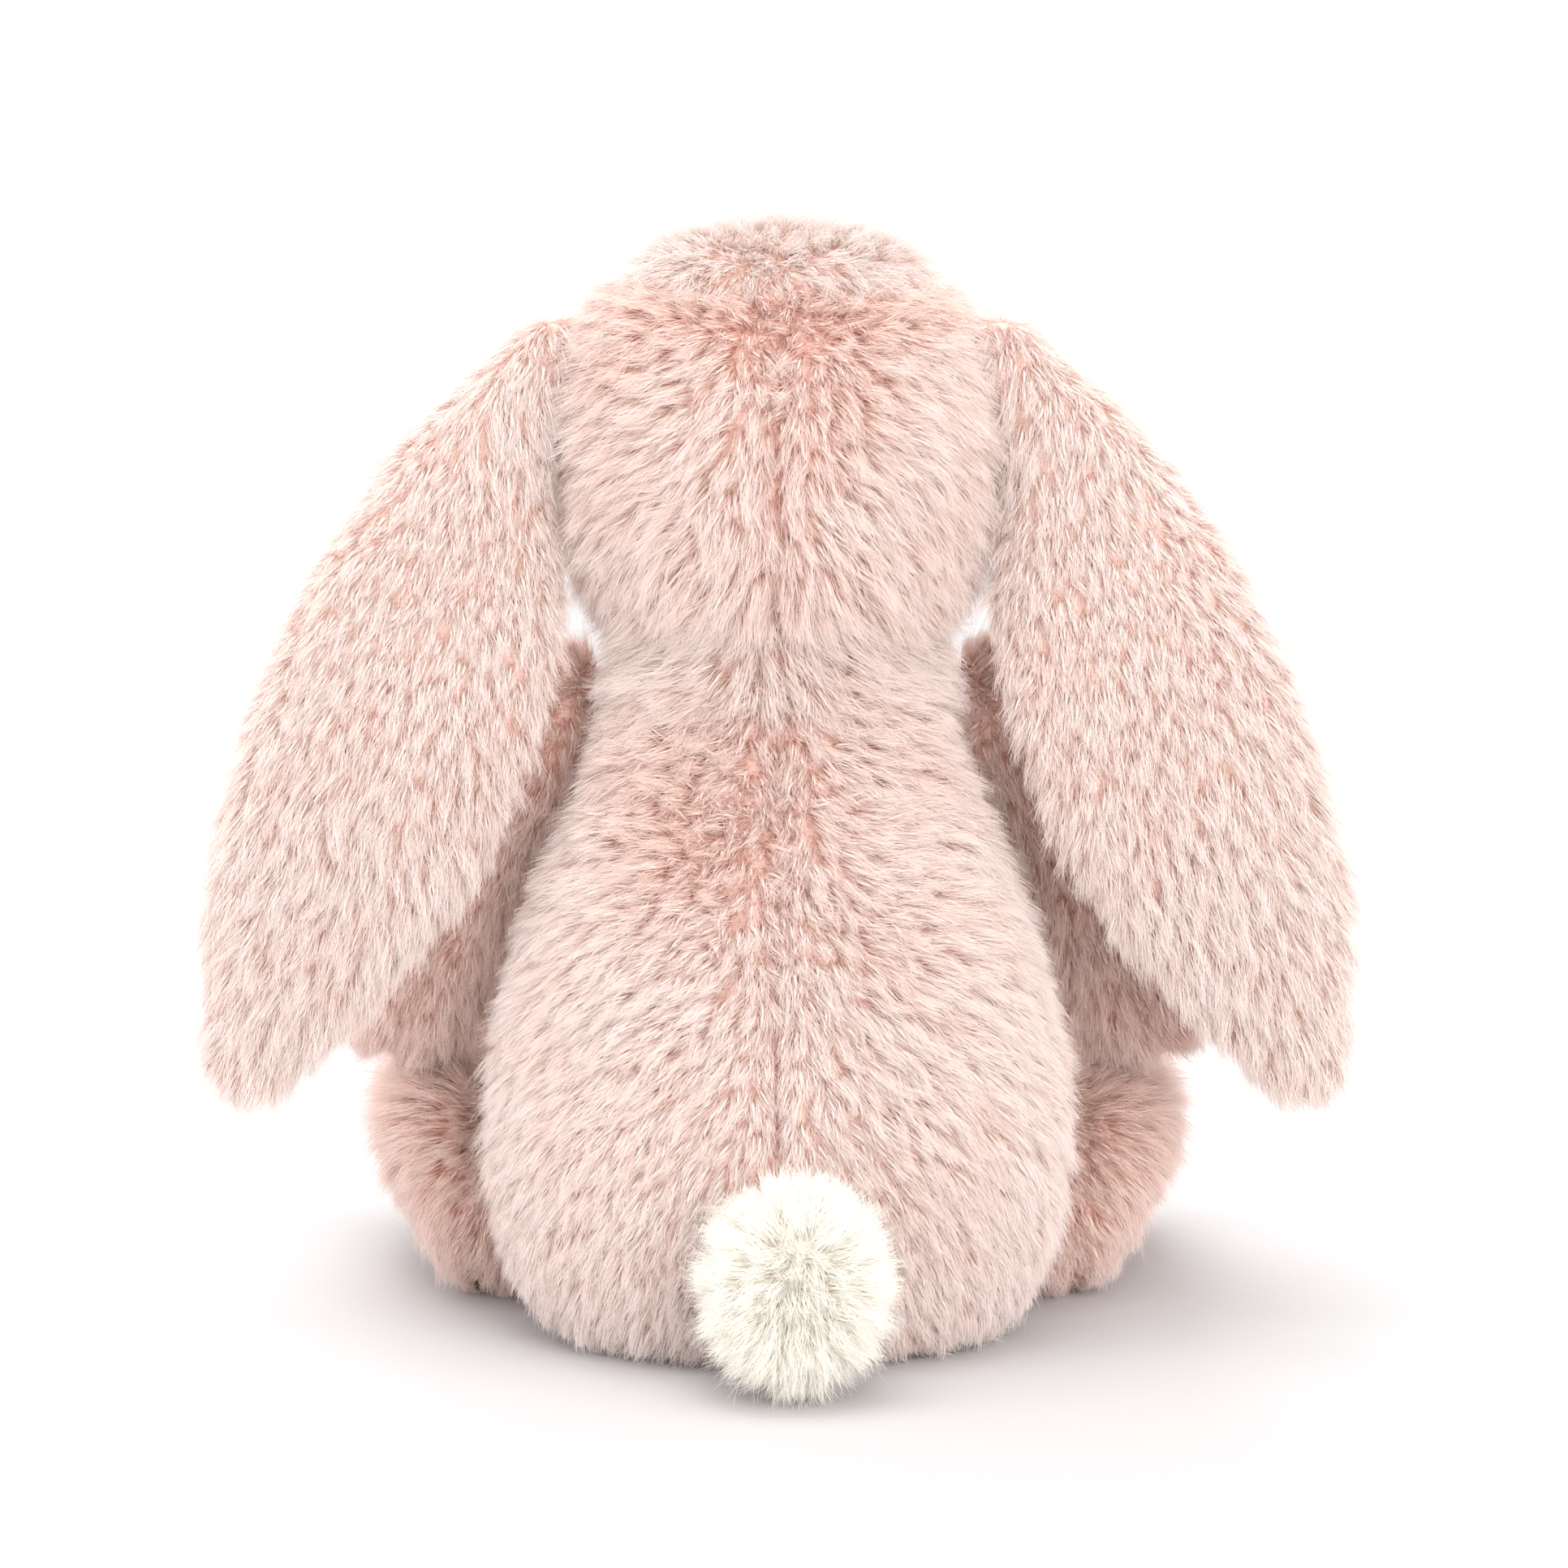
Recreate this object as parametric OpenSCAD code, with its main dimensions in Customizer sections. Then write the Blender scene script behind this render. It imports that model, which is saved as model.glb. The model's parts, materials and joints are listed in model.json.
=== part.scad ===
// A seated stuffed rabbit: fur-fabric panels sewn over stuffing, long drooping ears, a pompom
// tail, safety eyes and a pouch of pellets that weighs the seat.
// It faces -Y, sits on Z = 0, is the same on both sides of X = 0, and its box is centred on Y = 0.

/* [Torso] */
// Width of the torso at its widest
torso_w = 116; // [96:1:140]
// Depth of the torso at its widest, back to belly
torso_d = 87; // [72:1:105]
// Height of the neck opening above the floor
torso_h = 135; // [113:1:162]

/* [Head] */
// Width of the head across the cheeks
head_w = 82; // [68:1:98]
// Depth of the head, back of the head to muzzle
head_d = 83; // [69:1:100]
// Height of the head from the neck opening to the crown
head_h = 75; // [62:1:90]
// Gap between the neck openings of the torso and the head
neck_gap = 8; // [7:0.5:14]
// Radius of the stuffed neck that the head tips on
neck_r = 19; // [15:0.5:20]

/* [Ears] */
// Length of an ear from its root to its tip
ear_len = 150; // [125:1:180]
// Width of an ear at its widest
ear_w = 52; // [43:1:63]
// Thickness of an ear at its middle
ear_t = 11; // [9:0.5:14]
// Width of the gathered root of an ear
ear_root_w = 14; // [11:0.5:17]

/* [Arms] */
// Thickness of an arm at the shoulder
arm_d = 25; // [20:0.5:30]
// Thickness of the paw
paw_d = 31; // [25:0.5:37]
// How far the paw reaches out from the shoulder
arm_out = 31; // [26:1:38]
// How far the paw reaches forward from the shoulder
arm_fore = 17; // [12:1:22]

/* [Legs] */
// Thickness of a leg at the hip
leg_d = 49; // [41:1:58]
// Length of a leg from the middle of the hip to the sole
leg_len = 76; // [63:1:92]
// Height of a foot above the floor
foot_h = 54; // [45:1:64]

/* [Tail] */
// Width of the tail
tail_w = 36; // [30:1:43]
// Height of the tail
tail_h = 41; // [34:1:50]

/* [Eyes and nose] */
// Diameter of the eye's dome
eye_d = 9; // [7:0.5:11]
// Diameter of the post behind the eye
eye_post_d = 4; // [3:0.5:5]
// Diameter of the washer that locks the eye
washer_d = 12; // [9:0.5:14]
// Width of the nose
nose_w = 10; // [7:0.5:13]

/* [Fabric] */
// Thickness of the fur fabric with its pile pressed flat
fur_t = 3; // [2:0.25:4]
// Thickness of the seat panel
seat_t = 2.5; // [1.5:0.25:4]
// Depth of the pellet pouch in the seat
pouch_h = 22; // [16:1:28]
// Thickness of the pouch's cloth
pouch_t = 1; // [0.6:0.1:1.6]

/* [Clearances] */
// Gap between a limb or an ear and what it is sewn to
joint_gap = 1; // [0.4:0.1:2]
// Gap between pieces that lie against each other
rest_gap = 0.2; // [0.1:0.05:0.5]

/* [Hidden] */

fur_pink = "#E8CBC3";
short_pink = "#F3D8C8";
shade_pink = "#DDB6AB";
lining_pink = "#EFC9C2";
cream = "#F4F1E8";
stuffing_white = "#F7F7F5";
pouch_white = "#E9E6DF";
pellet_grey = "#C9CDD2";
eye_black = "#1B1412";
nose_pink = "#C98A83";
thread_pink = "#D9A79C";

torso_n = 32; // points round the torso and the head
limb_n = 16; // points round an arm, a leg and the tail
ear_n = 8; // steps across one face of an ear
cap_steps = [80, 55, 28]; // degrees at which a rounded end has its rings
side_k = 8; // the torso's side seam, as a step round from the middle of the back
face_k = 9; // the seam between the back of the head and the face
floor_gap = 0.2; // how far a leg's flattened underside stays above the floor

// ---- curves and rings -------------------------------------------------------------------

function unit(v) = v / norm(v);

// A smooth curve through rows of numbers or points, with f from 0 at the first to 1 at the last
function curve(rows, f) =
    let (
        last = len(rows) - 1,
        s = min(f * last, last - 0.00001),
        i = floor(s),
        u = s - i,
        a = rows[max(i - 1, 0)],
        b = rows[i],
        c = rows[i + 1],
        d = rows[min(i + 2, last)]
    )
    0.5 * (2 * b + (c - a) * u + (2 * a - 5 * b + 4 * c - d) * u * u
        + (3 * b - a - 3 * c + d) * u * u * u);

function curve_way(rows, f) = unit(curve(rows, min(f + 0.01, 1)) - curve(rows, max(f - 0.01, 0)));

// A point of a level ring: row is [height, half width, reach behind, reach in front, centre y]
function level_point(row, turn) =
    [
        row[1] * sin(turn),
        row[4] + (cos(turn) > 0 ? row[2] : row[3]) * cos(turn),
        row[0]
    ];

function level_ring(row, n) = [for (k = [0 : n - 1]) level_point(row, 360 * k / n)];

// A ring across a path: size is [half width along side, half thickness along front]
function cross_ring(at, way, front, size, n) =
    let (side = unit(cross(front, way)), face = cross(way, side))
    [
        for (k = [0 : n - 1])
            let (turn = 360 * k / n)
            at + side * size[0] * sin(turn) + face * size[1] * cos(turn)
    ];

// Rings along a path with a round end at each end, every ring inset from the outside
function tube_rings(path, sizes, front, n, steps, inset) =
    let (
        start = path[0],
        end = path[len(path) - 1],
        start_way = curve_way(path, 0),
        end_way = curve_way(path, 1),
        first = sizes[0] - [inset, inset],
        last = sizes[len(sizes) - 1] - [inset, inset]
    )
    concat(
        [
            for (a = cap_steps)
                cross_ring(start - start_way * first[0] * sin(a), start_way, front, first * cos(a), n)
        ],
        [
            for (k = [0 : steps])
                let (f = k / steps)
                cross_ring(
                    curve(path, f), curve_way(path, f), front,
                    curve(sizes, f) - [inset, inset], n
                )
        ],
        [
            for (k = [len(cap_steps) - 1 : -1 : 0])
                let (a = cap_steps[k])
                cross_ring(end + end_way * last[0] * sin(a), end_way, front, last * cos(a), n)
        ]
    );

function middle(ring) = [for (a = [0 : 2]) max([for (p = ring) p[a]]) + min([for (p = ring) p[a]])] / 2;

// ---- solids made of rings ------------------------------------------------------------------

// A closed solid over a stack of rings, its two ends closed to a middle point
module skin(rings) {
    n = len(rings[0]);
    m = len(rings);
    polyhedron(
        [each [for (r = rings) each r], middle(rings[0]), middle(rings[m - 1])],
        [
            for (i = [0 : m - 2], k = [0 : n - 1])
                let (a = i * n + k, b = i * n + (k + 1) % n)
                each [[a, b, b + n], [a, b + n, a + n]],
            for (k = [0 : n - 1])
                let (b = (k + 1) % n, top = (m - 1) * n)
                each [[m * n, b, k], [m * n + 1, top + k, top + b]]
        ]
    );
}

// A panel between outer and inner arcs, one pair at each station
module band(outer, inner) {
    w = len(outer[0]);
    n = 2 * w;
    m = len(outer);
    polyhedron(
        [for (i = [0 : m - 1]) each concat(outer[i], [for (k = [w - 1 : -1 : 0]) inner[i][k]])],
        [
            for (i = [0 : m - 2], k = [0 : n - 1])
                let (a = i * n + k, b = i * n + (k + 1) % n)
                each [[a, b, b + n], [a, b + n, a + n]],
            for (k = [0 : w - 2])
                let (a = k, b = k + 1, c = n - 2 - k, d = n - 1 - k, top = (m - 1) * n)
                each [
                    [c, b, a], [d, c, a],
                    [top + a, top + b, top + c], [top + a, top + c, top + d]
                ]
        ]
    );
}

function arc(ring, from, to) = [for (k = [from : to]) ring[(k + len(ring)) % len(ring)]];
function arcs(rings, from, to) = [for (r = rings) arc(r, from, to)];
function part_of(rows, from, to) = [for (k = [from : to]) rows[k]];
function backwards(rows) = [for (k = [len(rows) - 1 : -1 : 0]) rows[k]];

module right_side() mirror([1, 0, 0]) children();

// ---- torso -----------------------------------------------------------------------------------

// Share of the height, half width, reach behind, reach in front, and lean of the centre in mm
torso_rows = [
    [0.000, 0.70, 0.78, 0.66, 3],
    [0.020, 0.79, 0.87, 0.74, 3],
    [0.075, 0.89, 0.97, 0.83, 3],
    [0.160, 0.965, 1.05, 0.89, 3],
    [0.290, 1.00, 1.08, 0.92, 3],
    [0.420, 0.97, 1.04, 0.90, 2],
    [0.550, 0.895, 0.94, 0.85, 1],
    [0.680, 0.795, 0.82, 0.77, 0],
    [0.800, 0.665, 0.70, 0.68, -1],
    [0.910, 0.590, 0.61, 0.60, -2],
    [1.000, 0.540, 0.57, 0.56, -3]
];
torso_steps = 15;

function torso_row(f, inset) =
    let (row = curve(torso_rows, f))
    [
        row[0] * torso_h,
        row[1] * torso_w / 2 - inset,
        row[2] * torso_d / 2 - inset,
        row[3] * torso_d / 2 - inset,
        row[4]
    ];

// The step of the torso's curve at which it passes a height, found by halving
function torso_step(z, low = 0, high = 1, tries = 18) =
    let (f = (low + high) / 2)
    tries == 0 ? f
    : torso_row(f, 0)[0] < z ? torso_step(z, f, high, tries - 1)
    : torso_step(z, low, f, tries - 1);

function torso_point(z, turn) = level_point(torso_row(torso_step(z), 0), turn);
function torso_normal(z, turn) =
    unit(cross(
        torso_point(z + 1, turn) - torso_point(z - 1, turn),
        torso_point(z, turn + 2) - torso_point(z, turn - 2)
    ));

torso_outer = [for (k = [0 : torso_steps]) level_ring(torso_row(k / torso_steps, 0), torso_n)];
torso_inner = [for (k = [0 : torso_steps]) level_ring(torso_row(k / torso_steps, fur_t), torso_n)];

module torso_panel(from, to) band(arcs(torso_outer, from, to), arcs(torso_inner, from, to));

module torso_back_left() color(fur_pink) placed() torso_panel(0, side_k);
module torso_back_right() color(fur_pink) placed() torso_panel(-side_k, 0);
module belly_panel() color(fur_pink) placed() torso_panel(side_k, torso_n - side_k);

module seat_panel()
    color(fur_pink) placed()
        linear_extrude(seat_t)
            polygon([
                for (p = level_ring(torso_row(0, fur_t + rest_gap), 2 * torso_n)) [p.x, p.y]
            ]);

neck_at = [0, torso_row(1, 0)[4], torso_h + neck_gap / 2 - 1];

// Rings of the stuffed neck: a ball about neck_at, from a height up to its top
function neck_rings(radius, from_z, steps) =
    let (low = asin((from_z - neck_at.z) / radius))
    [
        for (k = [0 : steps])
            let (a = low + (84 - low) * k / steps, r = radius * cos(a))
            level_ring([neck_at.z + radius * sin(a), r, r, r, neck_at.y], torso_n)
    ];

pouch_top = seat_t + pouch_h;
pouch_steps = 5;

// Rings of the space inside the torso between two heights
function torso_space(low, high, steps, inset) =
    [
        for (k = [0 : steps])
            let (
                z = low + (high - low) * k / steps,
                row = torso_row(torso_step(z), fur_t + inset)
            )
            level_ring([z, row[1], row[2], row[3], row[4]], torso_n)
    ];

module torso_stuffing()
    color(stuffing_white) placed()
        skin(concat(
            torso_space(pouch_top + rest_gap, torso_h, 9, rest_gap),
            neck_rings(neck_r, torso_h + 0.5, 5)
        ));

module pouch_shape(wall)
    skin(torso_space(seat_t + rest_gap + wall, pouch_top - wall, pouch_steps, rest_gap + wall));

module pellet_pouch()
    color(pouch_white) placed()
        difference() {
            pouch_shape(0);
            pouch_shape(pouch_t);
        }

module pellet_fill() color(pellet_grey) placed() pouch_shape(pouch_t + rest_gap);

stitch_r = 0.5;
closing_low = 0.36; // where the hand-sewn part of the back seam starts, as a share of the height
closing_high = 0.66;

// A thread that follows points just clear of a skin
module thread(points)
    skin(tube_rings(
        points, [for (p = points) [stitch_r, stitch_r]], [1, 0, 0.01], 6, 2 * len(points), 0
    ));

module closing_stitch()
    color(thread_pink) placed()
        thread([
            for (k = [0 : 5])
                torso_point(torso_h * (closing_low + (closing_high - closing_low) * k / 5), 0)
                + [0, stitch_r + rest_gap, 0]
        ]);

// ---- head ---------------------------------------------------------------------------------------

// Share of the height, half width, reach behind, reach in front, and lean of the centre in mm
head_rows = [
    [0.00, 0.72, 0.64, 0.62, -3],
    [0.05, 0.83, 0.74, 0.77, -4],
    [0.15, 0.935, 0.84, 0.94, -4],
    [0.28, 0.99, 0.90, 1.06, -4],
    [0.41, 1.00, 0.92, 1.05, -4],
    [0.54, 0.985, 0.92, 0.98, -4],
    [0.68, 0.925, 0.87, 0.89, -4],
    [0.81, 0.835, 0.78, 0.78, -4],
    [0.91, 0.670, 0.62, 0.61, -4],
    [0.975, 0.420, 0.38, 0.37, -4],
    [1.00, 0.080, 0.08, 0.08, -4]
];
head_steps = 14;
crown_step = 11; // the ring at which the crown panel meets the other panels
head_z = torso_h + neck_gap;
head_middle = [0, -4, head_z + head_h * 0.45];
head_shrink = 1 - 2 * fur_t / head_w;

function head_row(f) =
    let (row = curve(head_rows, f))
    [head_z + row[0] * head_h, row[1] * head_w / 2, row[2] * head_d / 2, row[3] * head_d / 2, row[4]];

function head_step(z, low = 0, high = 1, tries = 18) =
    let (f = (low + high) / 2)
    tries == 0 ? f
    : head_row(f)[0] < z ? head_step(z, f, high, tries - 1)
    : head_step(z, low, f, tries - 1);

function head_point(z, turn) = level_point(head_row(head_step(z)), turn);
function head_normal(z, turn) =
    unit(cross(
        head_point(z + 1, turn) - head_point(z - 1, turn),
        head_point(z, turn + 2) - head_point(z, turn - 2)
    ));
function shrunk(ring, by) = [for (p = ring) head_middle + (p - head_middle) * by];

head_outer = [for (k = [0 : head_steps]) level_ring(head_row(k / head_steps), torso_n)];
head_inner = [for (r = head_outer) shrunk(r, head_shrink)];

module head_panel(from, to)
    band(
        arcs(part_of(head_outer, 0, crown_step), from, to),
        arcs(part_of(head_inner, 0, crown_step), from, to)
    );

module head_back_left() color(fur_pink) placed() head_panel(0, face_k);
module head_back_right() color(fur_pink) placed() head_panel(-face_k, 0);

module crown_panel()
    color(short_pink) placed()
        skin(concat(
            backwards(part_of(head_inner, crown_step, head_steps)),
            part_of(head_outer, crown_step, head_steps)
        ));

eye_z = head_z + 0.5 * head_h;
eye_turn = 144; // degrees round from the middle of the back
washer_t = 1.5;
washer_back = fur_t * 1.1 + 1; // how far behind the eye the washer's face lies
eye_depth = washer_back + washer_t + 1.2; // how far the post reaches behind the eye
post_gap = 0.1;

// Puts an eye's own parts on the face, looking out along +Z from the surface
module at_eye() {
    way = head_normal(eye_z, eye_turn);
    translate(head_point(eye_z, eye_turn))
        rotate([0, acos(way.z), atan2(way.y, way.x)])
            children();
}

module eye_hole()
    at_eye()
        translate([0, 0, -2 * fur_t])
            cylinder(r = eye_post_d / 2 + post_gap, h = 4 * fur_t, $fn = 32);

module face(from, to)
    color(short_pink) placed()
        difference() {
            head_panel(from, to);
            eye_hole();
        }

module face_left() face(face_k, torso_n / 2);
module face_right() right_side() face(face_k, torso_n / 2);

module washer_space()
    at_eye()
        translate([0, 0, -eye_depth - 2])
            cylinder(r = washer_d / 2 + 0.5, h = eye_depth + 2, $fn = 32);

module head_stuffing()
    color(stuffing_white) placed()
        difference() {
            skin(concat(
                backwards(neck_rings(neck_r + joint_gap, head_inner[0][0].z, 5)),
                [for (r = head_outer) shrunk(r, head_shrink - 2 * rest_gap / head_w)]
            ));
            washer_space();
            right_side() washer_space();
        }

module eye()
    color(eye_black)
        at_eye() {
            rotate_extrude($fn = 48)
                intersection() {
                    translate([0, rest_gap - eye_d * 0.12]) circle(d = eye_d, $fn = 48);
                    translate([0, rest_gap]) square(eye_d);
                }
            translate([0, 0, -eye_depth])
                cylinder(r = eye_post_d / 2, h = eye_depth + rest_gap + 0.1, $fn = 32);
        }

module eye_left() placed() eye();
module eye_right() placed() right_side() eye();

module eye_washer()
    at_eye()
        translate([0, 0, -washer_back - washer_t])
            difference() {
                cylinder(d = washer_d, h = washer_t, $fn = 48);
                translate([0, 0, -1])
                    cylinder(r = eye_post_d / 2 + post_gap, h = washer_t + 2, $fn = 32);
            }

module eye_washers()
    color(pellet_grey) placed() {
        eye_washer();
        right_side() eye_washer();
    }

nose_z = head_z + 0.36 * head_h;
nose_t = 3;
nose_corner = nose_w * 0.18;
nose_low = nose_z - 0.3 * nose_w - nose_corner;

module nose() {
    front = head_point(nose_z, 180);
    color(nose_pink) placed()
        translate([0, front.y - rest_gap, nose_z])
            rotate([90, 0, 0])
                linear_extrude(nose_t)
                    hull() {
                        for (s = [-1, 1])
                            translate([s * (nose_w / 2 - nose_corner), nose_w * 0.22])
                                circle(nose_corner, $fn = 24);
                        translate([0, -nose_w * 0.3]) circle(nose_corner, $fn = 24);
                    }
}

mouth_drop = 4; // from under the nose down to where the mouth forks
mouth_w = 11;

function on_face(z, turn) = head_point(z, turn) + head_normal(z, turn) * (stitch_r + 2 * rest_gap);

module mouth_stitch() {
    low = nose_low - mouth_drop;
    spread = asin(mouth_w / head_w);
    color(thread_pink) placed() {
        thread([for (k = [0 : 3]) on_face(low + 1 + (mouth_drop - 2 - stitch_r) * k / 3, 180)]);
        for (s = [0, 1])
            mirror([s, 0, 0])
                thread([for (k = [0 : 3]) on_face(low - 2.5 * k / 3, 180 - 1.5 - spread * k / 3)]);
    }
}

// ---- ears ------------------------------------------------------------------------------------------

ear_root_z = head_z + 0.64 * head_h; // where the ear is sewn into the side of the head
ear_turn = 90;
ear_gap = 1.6 * joint_gap; // more than a limb's, because the ear widens just below its root
ear_at =
    head_point(ear_root_z, ear_turn)
    + head_normal(ear_root_z, ear_turn) * (ear_root_w / 2 + ear_gap);

// Shares of the ear's length: out, back and up from the root
ear_path = [
    for (p = [
        [0, 0, 0], [0.043, 0.025, -0.073], [0.090, 0.045, -0.167], [0.120, 0.068, -0.287],
        [0.170, 0.088, -0.420], [0.233, 0.100, -0.580], [0.290, 0.098, -0.693],
        [0.333, 0.092, -0.800], [0.370, 0.086, -0.893]
    ]) ear_at + p * ear_len
];
// Half width and half thickness at the same places
ear_sizes = [
    for (s = [
        [0.27, 1.10], [0.40, 1.06], [0.63, 1.0], [0.90, 1.0],
        [1.00, 1.0], [0.965, 1.0], [0.81, 0.96], [0.62, 0.84], [0.37, 0.6]
    ]) [s[0] * ear_w / 2, s[1] * ear_t / 2]
];
ear_steps = 14;
ear_edge = 0.8; // thickness of each layer where it meets the edge
fur_share = 0.58; // share of the ear's thickness that is the long fur of its back

// Stations of an ear: place, way, half width, half thickness, with its round root and tip
function ear_stations() =
    let (
        root = ear_root_w / 2,
        tip = ear_sizes[len(ear_sizes) - 1],
        root_way = curve_way(ear_path, 0),
        tip_way = curve_way(ear_path, 1),
        tip_at = ear_path[len(ear_path) - 1]
    )
    concat(
        [
            for (a = cap_steps)
                [ear_path[0] - root_way * root * sin(a), root_way, [root * cos(a), ear_sizes[0][1]]]
        ],
        [
            for (k = [0 : ear_steps])
                let (f = k / ear_steps, size = curve(ear_sizes, f))
                [curve(ear_path, f), curve_way(ear_path, f), k == 0 ? [root, size[1]] : size]
        ],
        [
            for (k = [len(cap_steps) - 1 : -1 : 0])
                let (a = cap_steps[k])
                [
                    tip_at + tip_way * tip[0] * 1.1 * sin(a),
                    tip_way,
                    [tip[0] * cos(a), tip[1] * (0.5 + 0.5 * cos(a))]
                ]
        ]
    );

// One layer of the ear: side 1 is the back, side -1 the front
module ear_layer(side, share) {
    stations = ear_stations();
    across = [for (k = [0 : ear_n]) side * (-90 + 180 * k / ear_n)];
    function layer_point(s, turn, outer) =
        let (w = unit(cross([0, 1, 0], s[1])), t = cross(s[1], w))
        s[0] + w * s[2][0] * sin(turn)
        + t * side * (rest_gap / 2 + (outer ? ear_edge + (2 * share * s[2][1] - ear_edge) * cos(turn) : 0));
    band(
        [for (s = stations) [for (a = across) layer_point(s, a, true)]],
        [for (s = stations) [for (a = across) layer_point(s, a, false)]]
    );
}

module ear_left_fur() color(fur_pink) placed() ear_layer(1, fur_share);
module ear_left_lining() color(lining_pink) placed() ear_layer(-1, 1 - fur_share);
module ear_right_fur() color(fur_pink) placed() right_side() ear_layer(1, fur_share);
module ear_right_lining() color(lining_pink) placed() right_side() ear_layer(-1, 1 - fur_share);

// ---- legs ------------------------------------------------------------------------------------------

hip_turn = 129;
leg_z = leg_d / 2 + floor_gap;
leg_at =
    torso_point(leg_z, hip_turn) + torso_normal(leg_z, hip_turn) * (leg_d / 2 + joint_gap);
leg_splay = 1; // degrees that a leg points outward
foot_w = leg_d * 0.84;
sole_len = foot_w * 0.36; // how far the rounded sole stands in front of the foot's last ring
leg_run = leg_len - sole_len;
leg_path = [
    for (f = [0, 0.3, 0.6, 1])
        leg_at + [sin(leg_splay), -cos(leg_splay), 0] * leg_run * f
        + [0, 0, (foot_h - leg_d) / 2 * f * f]
];
leg_sizes = [[leg_d, leg_d], [leg_d, leg_d] * 0.95, [leg_d * 0.87, leg_d * 0.92], [foot_w, foot_h]] / 2;
leg_steps = 7;
leg_rings_n = len(cap_steps) + leg_steps; // the last ring before the sole

tuck_from = leg_d * 0.78; // the height below which the outer half of a leg is tucked in
tuck_shares = [0.28, 0.72]; // how much of that half's width is left at the floor, at hip and foot

function tuck(p, z) =
    let (
        foot = max(0, min(1, (leg_at.y - p.y) / leg_run)),
        share = tuck_shares[0] * (1 - foot) + tuck_shares[1] * foot
    )
    share + (1 - share) * pow(min(z / tuck_from, 1), 1.3);

// A leg's ring kept above the floor, with its outer half tucked in
function on_floor(ring, height) =
    let (inside = middle(ring).x)
    [
        for (p = ring)
            let (z = max(p.z, height))
            [inside + (p.x - inside) * (p.x > inside ? tuck(p, z) : 1), p.y, z]
    ];

function leg_rings(inset) =
    let (
        tube = tube_rings(leg_path, leg_sizes, [0, 0, 1], limb_n, leg_steps, inset),
        way = curve_way(leg_path, 1),
        end = leg_path[len(leg_path) - 1],
        size = leg_sizes[len(leg_sizes) - 1] - [inset, inset]
    )
    [
        for (r = concat(
            part_of(tube, 0, leg_rings_n),
            [
                for (k = [len(cap_steps) - 1 : -1 : 0])
                    let (a = cap_steps[k])
                    cross_ring(
                        end + way * (sole_len - inset) * sin(a), way, [0, 0, 1],
                        size * pow(cos(a), 0.8), limb_n
                    )
            ]
        )) on_floor(r, floor_gap + inset)
    ];

leg_outer_rings = leg_rings(0);
leg_inner_rings = leg_rings(fur_t);
leg_ends = len(leg_outer_rings) - 1;

module leg_panel(from, to)
    color(shade_pink) placed()
        band(
            arcs(part_of(leg_outer_rings, 0, leg_rings_n), from, to),
            arcs(part_of(leg_inner_rings, 0, leg_rings_n), from, to)
        );

module foot_sole()
    color(short_pink) placed()
        skin(concat(
            backwards(part_of(leg_inner_rings, leg_rings_n, leg_ends)),
            part_of(leg_outer_rings, leg_rings_n, leg_ends)
        ));

module leg_stuffing() color(stuffing_white) placed() skin(leg_rings(fur_t + rest_gap));

module leg_left_outer() leg_panel(0, limb_n / 2);
module leg_left_inner() leg_panel(limb_n / 2, limb_n);
module foot_sole_left() foot_sole();
module leg_left_stuffing() leg_stuffing();
module leg_right_outer() right_side() leg_panel(0, limb_n / 2);
module leg_right_inner() right_side() leg_panel(limb_n / 2, limb_n);
module foot_sole_right() right_side() foot_sole();
module leg_right_stuffing() right_side() leg_stuffing();

// ---- arms ------------------------------------------------------------------------------------------

shoulder_z = torso_h * 0.88;
shoulder_turn = 118;
arm_at =
    torso_point(shoulder_z, shoulder_turn)
    + torso_normal(shoulder_z, shoulder_turn) * (arm_d / 2 + joint_gap);
// The paw lies on the thigh
paw_z = leg_at.z + leg_d / 2 + joint_gap + paw_d / 2;
paw_at = [arm_at.x + arm_out, arm_at.y - arm_fore, paw_z];
arm_bow = [3, 2, 2]; // how far the arm bows outward at its middle
arm_path = [
    arm_at, arm_at * 0.65 + paw_at * 0.35 + arm_bow, arm_at * 0.3 + paw_at * 0.7 + arm_bow / 2, paw_at
];
arm_sizes = [[arm_d, arm_d], [arm_d, arm_d] * 1.04, [paw_d, paw_d] * 0.95, [paw_d, paw_d]] / 2;
arm_steps = 6;

arm_outer_rings = tube_rings(arm_path, arm_sizes, [0, 1, 0], limb_n, arm_steps, 0);
arm_inner_rings = tube_rings(arm_path, arm_sizes, [0, 1, 0], limb_n, arm_steps, fur_t);

module arm_panel(from, to)
    color(shade_pink) placed()
        band(arcs(arm_outer_rings, from, to), arcs(arm_inner_rings, from, to));

module arm_stuffing()
    color(stuffing_white) placed()
        skin(tube_rings(arm_path, arm_sizes, [0, 1, 0], limb_n, arm_steps, fur_t + rest_gap));

module arm_left_outer() arm_panel(limb_n / 2, limb_n);
module arm_left_inner() arm_panel(0, limb_n / 2);
module arm_left_stuffing() arm_stuffing();
module arm_right_outer() right_side() arm_panel(limb_n / 2, limb_n);
module arm_right_inner() right_side() arm_panel(0, limb_n / 2);
module arm_right_stuffing() right_side() arm_stuffing();

// ---- tail ------------------------------------------------------------------------------------------

tail_z = tail_h / 2 + 1;
tail_d = tail_w * 0.88;
tail_at = torso_point(tail_z, 0) + [0, joint_gap, 0];
tail_from = 14; // degrees round the tail's egg at which it starts and ends
tail_to = 174;
tail_steps = 8;

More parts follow.
